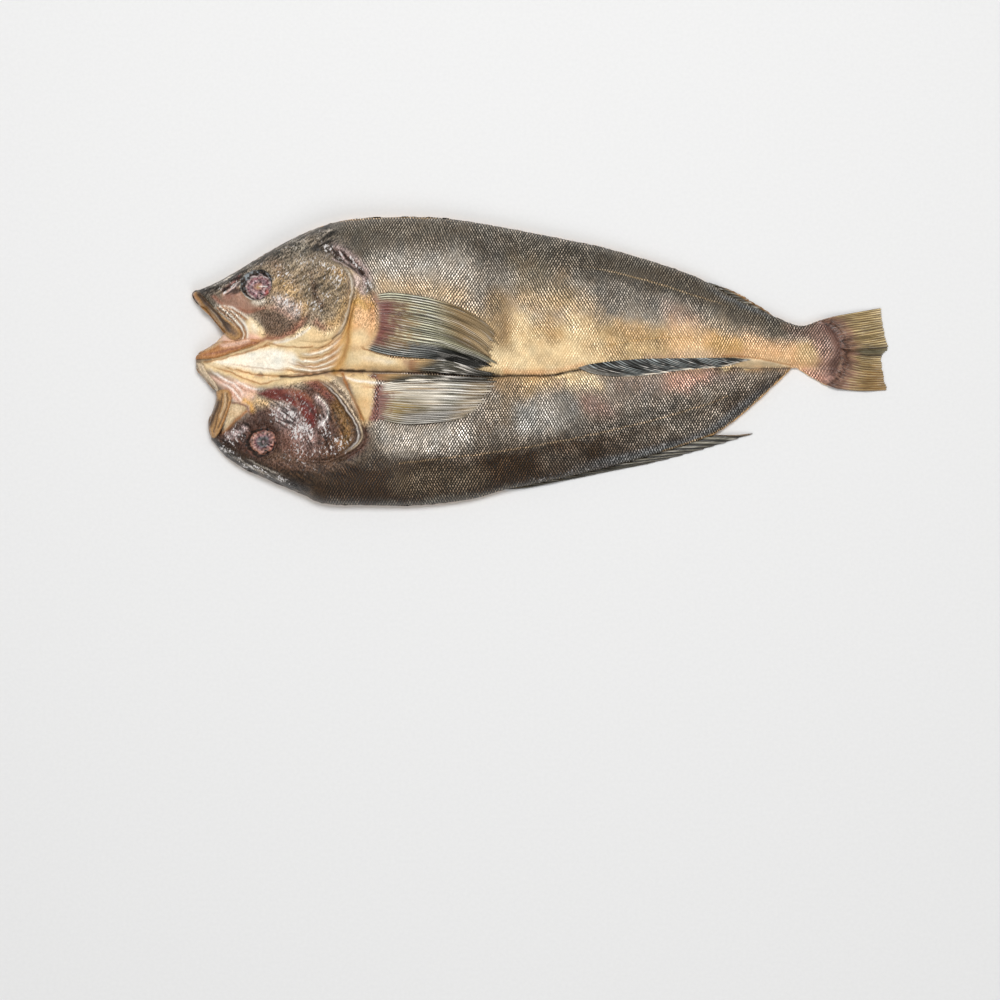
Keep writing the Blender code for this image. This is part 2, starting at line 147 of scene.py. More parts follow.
# Lines and areas of the head and flanks that are both carved and painted.
PREOPERCLE = ((-131, 50), (-130, 42.2), (-129.8, 35), (-132, 28), (-136, 21))
FIRST_RIM = FIRST_BONE[3:12]
SECOND_RIM = SECOND_BONE[2:11]
FIRST_GROOVE = (
    (-101.9, 44.4), (-105.1, 38.9), (-107.2, 33.1), (-108.6, 26.7), (-110.4, 20.2), (-113.2, 14), (-118, 9),
)
SECOND_GROOVE = (
    (-112, -17.6), (-106.4, -26), (-102.2, -34), (-100.6, -41), (-101.6, -46.6), (-106, -51.4),
    (-114, -56.2),
)
ROUGH_SKIN = ((-124, 65.3), (-117, 62.9), (-111, 58.6), (-104.7, 53.6), (-100.5, 47.6), (-98, 40.4))
ROUGH_LINES = (
    ((-113.6, 62.9), (-110.4, 58.1), (-105.6, 54.9), (-101.5, 49.2), (-99.1, 42.8)),
    ((-117.6, 58.9), (-112.8, 56.9), (-107.4, 53.2), (-102.1, 49)),
)
JAW_FOLDS = (
    ((-183.5, 31), (-175.8, 24.2), (-170.6, 18.1), (-169.6, 13.8), (-173.6, 10.9)),
    ((-180.9, 31.4), (-173.2, 25.5), (-168.2, 19), (-167.6, 13.2)),
    ((-178.4, 31), (-171.5, 27.6), (-167, 24)),
)
# Grooves between the thin bones that fold the throat, each from under the gill cover to the front.
THROAT_GROOVES = (
    ((-111.4, 21), (-113.6, 17.4), (-117.2, 12.8), (-122, 9), (-129.6, 6), (-137, 5.4)),
    ((-111.2, 13.6), (-115.6, 8.8), (-119.9, 4.9), (-125.5, 2.5), (-133.7, 1.5), (-142, 3.4)),
    ((-111.8, 8.2), (-116.4, 4), (-122, 0.4), (-128.6, -2), (-135.7, -2.2), (-145, 1.2)),
    ((-112.8, 3), (-117.6, -0.6), (-122.9, -3.2), (-129, -4.4), (-136, -3.4), (-147, -0.8)),
    ((-116.4, -3.2), (-120.8, -5), (-126.5, -6.4), (-132, -6.9), (-139, -6.4), (-150, -3.8)),
)
JAW_LINE = ((-192.6, -0.6), (-187.7, 0.1), (-178.9, 2.5), (-169.2, 4.9), (-158.7, 8.1), (-155, 8.9))
RUST_LINE = ((-107.8, 33), (-109.2, 24.2), (-110, 16.2), (-110.8, 8.1), (-113.6, 0.1), (-117.8, -5.4))
SECOND_RUST_LINE = ((-113.9, -7), (-111.2, -13.4), (-108, -20.7), (-103.9, -28.7), (-101.4, -34))
BELLY_FOLD = ((-101.9, 7.4), (-94.3, 4.7), (-87.8, 3.1), (-79.7, 1.9), (-70, 1.9))
FIRST_LATERAL = (
    (-101.5, 64.9), (-74.9, 66.5), (-54.8, 65.7), (-34.6, 64.1), (-10.5, 59.3), (17.4, 55.3), (32.1, 52.8),
    (61.4, 45.8), (90.7, 36.6), (114.5, 29.6), (143.2, 15.2),
)
SECOND_LATERAL = (
    (-105.8, -61.1), (-81, -58.7), (-57.2, -55.9), (-34.8, -53.3), (-5.3, -48.8), (16.8, -44.7),
    (36, -40.7), (68.5, -32.6), (98, -23.7), (106.9, -20.1),
)
MOUTH_FOLDS = (
    ((-190.9, -3.6), (-183.7, -8.8), (-174.8, -13.6), (-170.8, -18.4), (-169.2, -22.5)),
    ((-183.7, -12), (-176.4, -16), (-171.6, -22), (-167.8, -23.3)),
    ((-176.4, -9.8), (-168.4, -14.4), (-161.9, -16), (-157.9, -15.2)),
)
GULAR_LINES = (
    ((-186.9, -1.9), (-174.8, -5), (-163.6, -7.7), (-150.7, -8.6), (-134.6, -8), (-122.5, -6)),
    ((-193.4, -1.3), (-180.5, -5.4), (-168.4, -10.4), (-159.5, -13), (-152.3, -11), (-142.6, -9.9)),
)
MAROON = (
    (-161.7, -18.7), (-155.4, -15.8), (-147.3, -15.8), (-139.3, -16.9), (-133.6, -19.8), (-130.1, -24.4),
    (-127.8, -31.3), (-130.3, -39), (-134.7, -33.3), (-139.3, -26.5), (-146.2, -23.1), (-155.4, -21.8),
)
PINK_FOLD = ((-127.8, -21), (-123.2, -25.5), (-122.1, -31.3), (-125.5, -37))
COLLAR = (
    (-107.4, 33.9), (-101.1, 37), (-95.9, 34.5), (-93.9, 24.3), (-95.4, 15.8), (-99.2, 9.2), (-103, 7.2),
    (-110, 7.6), (-109.4, 19.9),
)
SECOND_COLLAR = (
    (-112.1, -8.3), (-95.4, -8), (-94.7, -18.8), (-96.4, -30.3), (-101.9, -35.8), (-104, -26.3),
    (-107.4, -16.5),
)
FIRST_BROW = ((-190, 42), (-176, 50), (-158, 59.5), (-140, 69.5), (-120, 76))
SECOND_BROW = ((-184, -48.8), (-172, -57), (-158, -64), (-142, -70.4))
ANAL_MEMBRANE = ((108, 2), (126, 0.9), (144, -2.8), (130, -3.4), (112, -3.2))


# ---------------------------------------------------------------- paths, distances and noise
CURVE_PIECES = 24  # pieces between two given points, before they are spaced out evenly


def smooth_path(points, step):
    """Evenly spaced points about one step apart on a smooth curve through the given points."""
    given = np.array(points, float)
    padded = np.vstack((2 * given[0] - given[1], given, 2 * given[-1] - given[-2]))
    fine = []
    for before, start, end, after in zip(padded, padded[1:], padded[2:], padded[3:]):
        t = np.linspace(0, 1, CURVE_PIECES, endpoint=False)[:, None]
        fine.append(
            start
            + 0.5 * t * (end - before)
            + t**2 * (before - 2.5 * start + 2 * end - 0.5 * after)
            + t**3 * (1.5 * (start - end) + 0.5 * (after - before))
        )
    fine = np.vstack(fine + [given[-1:]])
    length = np.concatenate(([0], np.cumsum(np.linalg.norm(np.diff(fine, axis=0), axis=1))))
    count = max(2, round(length[-1] / step) + 1)
    places = np.linspace(0, length[-1], count)
    return np.column_stack([np.interp(places, length, fine[:, axis]) for axis in (0, 1)])


def closed_outline(runs, step):
    """One closed outline from smooth runs that meet at corners."""
    return np.vstack([smooth_path(run, step)[:-1] for run in runs])


def loop(outline):
    return np.vstack((outline, outline[:1]))


def smoothstep(low, high, value):
    t = np.clip((value - low) / (high - low), 0, 1)
    return t * t * (3 - 2 * t)


def hump(value, width):
    """1 at zero, falling away evenly on both sides over about one width."""
    return np.exp(-((value / width) ** 2))


def profile(stops, places):
    """Value at each place of a profile that is given by its stops."""
    return np.interp(places, *np.array(stops, float).T)


def distance_to(path, x, y):
    """Distance of each place to a polyline."""
    nearest = np.full(np.shape(x), np.inf)
    for (x0, y0), (x1, y1) in zip(path, path[1:]):
        run = max((x1 - x0) ** 2 + (y1 - y0) ** 2, 1e-9)
        t = np.clip(((x - x0) * (x1 - x0) + (y - y0) * (y1 - y0)) / run, 0, 1)
        nearest = np.minimum(nearest, np.hypot(x - x0 - t * (x1 - x0), y - y0 - t * (y1 - y0)))
    return nearest


def inside(outline, x, y):
    """Whether each place lies inside a closed outline."""
    odd = np.zeros(np.shape(x), bool)
    for (x0, y0), (x1, y1) in zip(outline, np.roll(outline, -1, axis=0)):
        if y0 != y1:
            odd ^= ((y0 > y) != (y1 > y)) & (x < x0 + (y - y0) * (x1 - x0) / (y1 - y0))
    return odd


def soft_noise(x, y, size, seed):
    """Smooth noise from -1 to 1 with features about one size across."""
    table = np.random.default_rng(seed).uniform(-1, 1, (64, 64))
    u, v = np.asarray(x) / size, np.asarray(y) / size
    i, j = np.floor(u).astype(int), np.floor(v).astype(int)
    s, t = smoothstep(0, 1, u - i), smoothstep(0, 1, v - j)
    low = table[i % 64, j % 64] * (1 - s) + table[(i + 1) % 64, j % 64] * s
    high = table[i % 64, (j + 1) % 64] * (1 - s) + table[(i + 1) % 64, (j + 1) % 64] * s
    return low * (1 - t) + high * t


def layers(noises, x, y):
    """Sum of soft noises, each given as its amount, size and seed."""
    return sum(amount * soft_noise(x, y, size, seed) for amount, size, seed in noises)


# ---------------------------------------------------------------- marks: soft strokes and patches
MARK_STEP = 2.0
TAPER = 0.3  # share of a tapered stroke's reach over which each end fades
REACH = 2.6  # how many widths from its points a mark still counts


def stroke(points, width, x, y):
    """Cover of a soft line, full on its path and fading out over its width."""
    return hump(distance_to(smooth_path(points, MARK_STEP), x, y), width)


def tapered(points, width, x, y):
    """Cover of a soft line that also fades towards both of its ends."""
    (x0, y0), (x1, y1) = points[0], points[-1]
    fade = TAPER * math.dist(points[0], points[-1])
    ends = smoothstep(0, fade, np.hypot(x - x0, y - y0)) * smoothstep(0, fade, np.hypot(x - x1, y - y1))
    return stroke(points, width, x, y) * ends


def patch(points, feather, x, y):
    """Cover of a filled outline whose edge fades over the feather."""
    outline = smooth_path(tuple(points) + (points[0],), MARK_STEP)[:-1]
    depth = distance_to(loop(outline), x, y) * np.where(inside(outline, x, y), 1, -1)
    return smoothstep(-feather, feather, depth)


def covers(marks, x, y):
    """For each mark that reaches some places: its values, their numbers and its cover at each."""
    for form, *values, width, points in marks:
        low = np.min(points, axis=0) - REACH * width
        high = np.max(points, axis=0) + REACH * width
        near = np.flatnonzero((x > low[0]) & (x < high[0]) & (y > low[1]) & (y < high[1]))
        if len(near):
            yield *values, near, form(points, width, x[near], y[near])


def raised(heights, marks, x, y):
    """Adds marks of (form, rise, width, points) to the heights, one after the other."""
    for rise, near, cover in covers(marks, x, y):
        heights[near] += rise * cover
    return heights


def blended(values, marks, named, x, y):
    """Blends marks of (form, name, strength, width, points) into the values, one after the other."""
    for name, strength, near, cover in covers(marks, x, y):
        values[near] += (strength * cover)[:, None] * (named[name] - values[near])
    return values


def shifted(path, dx, dy):
    return tuple((x + dx, y + dy) for x, y in path)


def between(first, second, share):
    """Path part of the way from one path to another with as many points."""
    return tuple(
        (x0 + (x1 - x0) * share, y0 + (y1 - y0) * share) for (x0, y0), (x1, y1) in zip(first, second)
    )


THROAT_PAIRS = list(zip(THROAT_GROOVES, THROAT_GROOVES[1:]))
THROAT_FOLDS = [between(*pair, 0.5) for pair in THROAT_PAIRS]
THROAT_CREASES = [between(*pair, share) for pair in THROAT_PAIRS for share in (0.27, 0.7)]

# ---------------------------------------------------------------- relief finer than the body's form
# Each mark adds its rise in millimetres over its width.
RELIEF = (
    # snout, nostril and cheek of the first side
    (tapered, 0.5, 0.9, ((-195, 39.6), (-186.1, 43.2), (-174.8, 47.2), (-167.2, 51.6))),
    (tapered, -0.5, 0.8, ((-194.2, 37.9), (-186.9, 40.3), (-178.9, 44.1))),
    (stroke, -0.9, 0.8, ((-172.4, 47.6), (-176, 44.4), (-180.5, 40.4))),
    (stroke, 0.5, 0.8, ((-171, 45.6), (-174.6, 42.2), (-179.1, 38.5))),
    (stroke, -0.5, 0.7, ((-186.9, 36.3), (-181.3, 31.5), (-173.2, 29.1), (-165.2, 28.3))),
    (patch, 0.8, 5, ((-162, 33), (-146, 36), (-138, 30), (-140, 20), (-156, 17))),
    (stroke, -0.7, 0.8, PREOPERCLE),
    (stroke, 0.5, 1.6, shifted(PREOPERCLE, 2.4, 0)),
    (stroke, -0.6, 1.3,
     ((-156.3, 12.6), (-150.7, 13), (-144.2, 15.4), (-138.6, 19.8), (-135, 25.1), (-133.3, 30.7))),
    (stroke, 0.5, 0.9, ((-157.1, 9.7), (-150.7, 11), (-140.2, 15), (-132.1, 21))),
    # mouth and throat
    *((stroke, 0.8, 0.7, path) for path in JAW_FOLDS),
    *((stroke, -0.9, 0.6, shifted(path, -1.3, -0.5)) for path in JAW_FOLDS),
    (stroke, 0.8, 2.4, ((-166, 22.6), (-162.6, 17.4))),
    (stroke, -1, 0.6, JAW_LINE),
    *((tapered, 0.7, 1.3, path) for path in THROAT_FOLDS),
    *((tapered, -0.9, 0.55, path) for path in THROAT_GROOVES),
    *((tapered, -0.4, 0.4, path) for path in THROAT_CREASES),
    *((tapered, -0.8, 0.6, path) for path in GULAR_LINES),
    *((tapered, 0.9, 0.9, path) for path in MOUTH_FOLDS),
    *((tapered, -0.6, 0.7, shifted(path, -0.6, -2)) for path in MOUTH_FOLDS),
    (patch, -2.2, 1.8, ((-176.6, -24.4), (-172.6, -24.6), (-169, -27.7), (-173.8, -32.4), (-179.5, -38.2))),
    # gills and collars
    (stroke, -1.7, 1.1, FIRST_GROOVE),
    (stroke, -1.5, 1, SECOND_GROOVE),
    *((stroke, -0.9, 0.7, path) for path in ROUGH_LINES),
    (patch, 0.9, 2.4, COLLAR),
    (patch, 0.8, 2.2, SECOND_COLLAR),
    (stroke, -0.8, 1.4, RUST_LINE),
    (stroke, -1, 0.8, SECOND_RUST_LINE),
    (stroke, -0.7, 0.7, BELLY_FOLD),
    (stroke, 0.5, 0.6, ((-109.1, -13.2), (-101.6, -13.9), (-93.4, -15.4))),
    # cheek of the second side
    (patch, -1.2, 1.4, MAROON),
    (stroke, 0.7, 1.2, ((-143.9, -17.5), (-139.3, -22.1), (-137, -29), (-132.4, -37))),
    (stroke, 1.2, 1.3, PINK_FOLD),
    (stroke, -0.8, 0.9, shifted(PINK_FOLD, 3, 0.6)),
    (stroke, -0.8, 1.4, ((-118.5, -17.4), (-112.9, -25.4), (-108.6, -33.4))),
    # flanks
    (stroke, 0.2, 0.5, FIRST_LATERAL[5:]),
    (stroke, 0.2, 0.5, SECOND_LATERAL[2:]),
    (stroke, 1.7, 2.6, ((-20, -7.9), (5.4, -7.8), (18, -5.4), (26, -4.2))),
    (stroke, -0.9, 0.6, ((-22, -8), (5.4, -8), (18, -5.6), (26, -4.4))),
    (patch, 0.8, 0.8, ((4, -6.8), (8.6, -6.6), (9, -8.6), (6, -8.2))),
    (patch, 0.7, 0.8, ((112, 1.8), (126, 0.6), (143, -2.8), (130, -3.2), (114, -2.9))),
)
# Wet, lumpy cheek of the second side.
FACE = (
    (-152, -16), (-140, -12), (-120, -12), (-103, -30), (-100, -44), (-116, -58), (-150, -60), (-184, -48),
)
FACE_FEATHER = 8.0
ROUGH_WIDTH = 4.0
ROUGH_WETNESS = 0.8
SKIN_WAVES = ((0.3, 13, 1), (0.14, 5, 2))
WET_LUMPS = ((0.5, 3.4, 3), (0.4, 1.7, 4))
HEAD_GRAIN = ((0.12, 1.6, 5), (0.08, 0.9, 6))
HEAD_END = (-128, -108)
CALM_EDGE = (0.5, 8.0)  # depth from the edge over which waves and lumps begin
WRINKLE_EDGE = (0.3, 2.0)
WRINKLE_HEIGHT = 0.35
WRINKLE_LINES = ((0.7, 5, 0.75, 11), (0.5, 3, 1.5, 12))  # amount, how drawn out, size and seed
# Skin with fine wrinkles, by the direction that they run in degrees.
WRINKLES = {
    32: (
        (stroke, 1, 3, ((-192, 41.2), (-176, 49), (-158, 59), (-140, 69), (-122, 76))),
        (patch, 0.9, 5, ((-155, 55), (-146, 60), (-132, 62), (-118, 66), (-122, 74), (-140, 68))),
        (patch, 0.9, 2, ((-192, 40), (-184, 45), (-172, 51), (-168, 48), (-174, 42), (-184, 39))),
        (patch, 0.5, 6,
         ((-154, 52), (-136, 56), (-114, 52), (-112, 32), (-132, 24), (-140, 20), (-154, 32))),
        (stroke, 0.7, 4, ((-150, 60), (-134, 66), (-116, 72))),
        (patch, 0.9, 2, ((-184, 40), (-176, 46), (-168, 50), (-167, 43), (-172, 38), (-180, 37))),
    ),
    -32: (
        (stroke, 1, 3, ((-186, -47.4), (-175, -57), (-162, -63.4), (-148, -69), (-132, -77))),
        (patch, 0.9, 3, ((-158, -24), (-144, -22), (-139, -30), (-142, -38), (-152, -36))),
        (patch, 0.8, 3, ((-184, -45), (-170, -35), (-164, -36), (-168, -44), (-176, -49))),
        (patch, 0.5, 6, ((-150, -52), (-130, -58), (-110, -58), (-104, -66), (-130, -74), (-152, -64))),
    ),
    -62: (
        (patch, 0.7, 4, ((-130, -28), (-120, -26), (-110, -38), (-112, -50), (-128, -54), (-138, -48))),
        (stroke, 0.9, 2.6, ROUGH_SKIN),
    ),
}

OUTLINE_STEP = 4.1
BODY_OUTLINE = closed_outline(BODY_RUNS, OUTLINE_STEP)
BODY_EDGE = loop(BODY_OUTLINE)
SEAM_PATH = smooth_path(SEAM, 3.0)


def body_height(x, y):
    """Height of the skin above the table, as in the part."""
    offset = y - profile(SEAM_PATH, x)
    crest = np.where(offset < 0, SECOND_SIDE, 1.0) * profile(CREST, x)
    reach = SEAM_SLOPE * profile(SLOPE_ALONG, x)
    climb = np.sin(np.clip(np.abs(offset) / reach, 0, 1) * math.pi / 2)
    flank = SEAM_HEIGHT + (crest - SEAM_HEIGHT) * climb
    flank -= CRACK_DEPTH * hump(offset, CRACK_WIDTH) * smoothstep(*CRACK_START, x)
    rounding = EDGE_ROUND * profile(ROUND_ALONG, x)
    inward = 1 - np.clip(distance_to(BODY_EDGE, x, y) / rounding, 0, 1)
    height = EDGE_HEIGHT + (flank - EDGE_HEIGHT) * np.sqrt(1 - inward**2)
    for _, eye_x, eye_y in EYES:
        height -= ORBIT_DEPTH * hump(np.hypot(x - eye_x, y - eye_y) - ORBIT_RADIUS, ORBIT_WIDTH)
    return height


def wetness(x, y):
    """How wet and lumpy the skin is, on the second cheek and on the rough skin behind the first gill."""
    rough = ROUGH_WETNESS * stroke(ROUGH_SKIN, ROUGH_WIDTH, x, y)
    return np.maximum(patch(FACE, FACE_FEATHER, x, y), rough)


def wrinkles(x, y):
    """Fine wrinkles of the skin, about -1 to 1."""
    total = np.zeros(len(x))
    for degrees, marks in WRINKLES.items():
        cover = np.clip(raised(np.zeros(len(x)), marks, x, y), 0, 1)
        turn = math.radians(degrees)
        along = x * math.cos(turn) + y * math.sin(turn)
        across = y * math.cos(turn) - x * math.sin(turn)
        for amount, drawn, size, seed in WRINKLE_LINES:
            total += cover * amount * soft_noise(along / drawn, across, size, seed)
    return total


def skin_height(x, y):
    """Height of the skin with its folds, grooves, lumps and waves."""
    height = raised(body_height(x, y), RELIEF, x, y)
    depth = distance_to(BODY_EDGE, x, y)
    edge = smoothstep(*CALM_EDGE, depth)
    head = 1 - smoothstep(*HEAD_END, x)
    height += edge * layers(SKIN_WAVES, x, y)
    height += edge * wetness(x, y) * layers(WET_LUMPS, x, y)
    height += WRINKLE_HEIGHT * smoothstep(*WRINKLE_EDGE, depth) * wrinkles(x, y)
    return height + edge * head * layers(HEAD_GRAIN, x, y)


# ---------------------------------------------------------------- scale rows
SCALE_PITCH = 1.56
ROW_SLOPE = math.sqrt(3)
ROW_WARP = 1.6
WARP_SIZE = 30.0
WARP_ROUNDS = 4  # how often a place is corrected until the warp takes it back to its row


def row_warp(x, y):
    """How far the scale rows wander from straight ones."""
    return tuple(ROW_WARP * soft_noise(x, y, WARP_SIZE, seed) for seed in (7, 8))


def scale_rows(x, y):
    """Numbers of the two crossing rows of scales at each place."""
    warp_x, warp_y = row_warp(x, y)
    along, across = (x + warp_x) / SCALE_PITCH, (y + warp_y) / (SCALE_PITCH * ROW_SLOPE)
    return along + across, along - across


def scale_lattice(outline, spacing, margin):
    """Triangular lattice of places inside an outline that bends along with the rows of scales."""
    low, high = outline.min(axis=0) - 2 * ROW_WARP, outline.max(axis=0) + 2 * ROW_WARP
    pitch_y = spacing * ROW_SLOPE / 2
    rows = np.arange(math.floor(low[1] / pitch_y), math.ceil(high[1] / pitch_y))
    columns = np.arange(math.floor(low[0] / spacing), math.ceil(high[0] / spacing))
    column, row = (grid.ravel() for grid in np.meshgrid(columns, rows))
    flat_x, flat_y = (column + 0.5 * (row % 2)) * spacing, row * pitch_y
    x, y = flat_x, flat_y
    for _ in range(WARP_ROUNDS):
        warp_x, warp_y = row_warp(x, y)
        x, y = flat_x - warp_x, flat_y - warp_y
    kept = inside(outline, x, y)
    x, y = x[kept], y[kept]
    clear = distance_to(loop(outline), x, y) > margin
    return np.column_stack((x[clear], y[clear]))


def scale_bump(x, y):
    """0 between the scales and 1 on the middle of each."""
    first, second = scale_rows(x, y)
    return (0.5 + 0.5 * np.cos(2 * math.pi * first)) * (0.5 + 0.5 * np.cos(2 * math.pi * second))


# ---------------------------------------------------------------- colours, from the fish
def srgb(red, green, blue):
    """Linear colour of a display colour."""
    value = np.array((red, green, blue)) / 255
    return np.where(value <= 0.04045, value / 12.92, ((value + 0.055) / 1.055) ** 2.4)


COLOURS = {
    "cream": (229, 201, 154), "ivory": (250, 242, 224), "sand": (200, 166, 116), "tan": (160, 128, 84),
    "gold": (190, 148, 88), "peach": (218, 171, 122), "flank": (160, 148, 132),
    "pale_grey": (184, 174, 160), "back": (98, 89, 76), "dark_back": (82, 73, 60), "edge": (112, 102, 88),
    "saddle": (92, 85, 76), "olive_tan": (118, 104, 82), "second_belly": (150, 128, 102),
    "second_flank": (138, 124, 108), "second_mid": (102, 90, 76), "second_back": (52, 35, 17),
    "slate": (96, 98, 98), "rose": (146, 110, 98), "pink": (192, 142, 120), "lavender": (186, 164, 160),
    "wine": (112, 62, 56), "maroon": (106, 42, 37), "purple": (82, 54, 44), "dark": (40, 30, 24),
    "rust": (158, 104, 54), "orange": (208, 156, 80), "orange_brown": (186, 128, 80),
    "jaw_gold": (178, 136, 88), "jaw_dark": (72, 54, 42), "bulb": (112, 90, 74), "red_brown": (146, 96, 74),
    "snout": (156, 118, 100), "cheek": (147, 128, 104), "cheek_dark": (92, 70, 54),
    "opercle": (124, 106, 80), "olive": (116, 82, 38), "rim": (206, 184, 154), "pale": (236, 226, 210),
    "membrane": (210, 184, 146), "mouth_pink": (232, 192, 170), "dark_snout": (62, 56, 52),
    "speck_grey": (112, 103, 92), "blue_grey": (142, 138, 130), "eye_wine": (108, 74, 78),
    "eye_grey": (150, 128, 130), "golden": (196, 150, 76), "flesh": (222, 178, 122),
    "white": (246, 240, 232), "eye_blood": (84, 46, 50), "vein_red": (190, 92, 80),
    "lid_spark": (158, 166, 170),
    # fins
    "green": (128, 124, 98), "pale_green": (222, 220, 194), "groove": (50, 44, 34),
    "dark_grey": (70, 72, 70), "glint": (150, 152, 147), "anal_ray_glint": (166, 173, 172), "brown": (148, 108, 62),
    "ray_white": (246, 242, 228), "grey": (150, 144, 124), "tail": (158, 136, 94),
    "tail_groove": (104, 82, 50), "tail_ray": (188, 168, 126), "teal": (92, 94, 80), "black": (28, 26, 23),
    "fin_olive": (78, 74, 62), "dull": (118, 114, 102), "moss": (138, 114, 60),
}
PALETTE = {name: srgb(*colour) for name, colour in COLOURS.items()}
TONE_RANGE = (0.004, 1.0)

# Tones across each side, from the belly seam at 0 to the cut edge of the back at 1.
FIRST_ACROSS = (
    (0, "cream"), (0.16, "cream"), (0.3, "sand"), (0.48, "flank"), (0.68, "flank"), (0.77, "back"),
    (0.9, "dark_back"), (1, "edge"),
)
SECOND_ACROSS = (
    (0, "second_belly"), (0.15, "second_flank"), (0.42, "second_flank"), (0.58, "second_mid"),
    (0.72, "second_back"), (0.96, "second_back"), (1, "dark_back"),
)
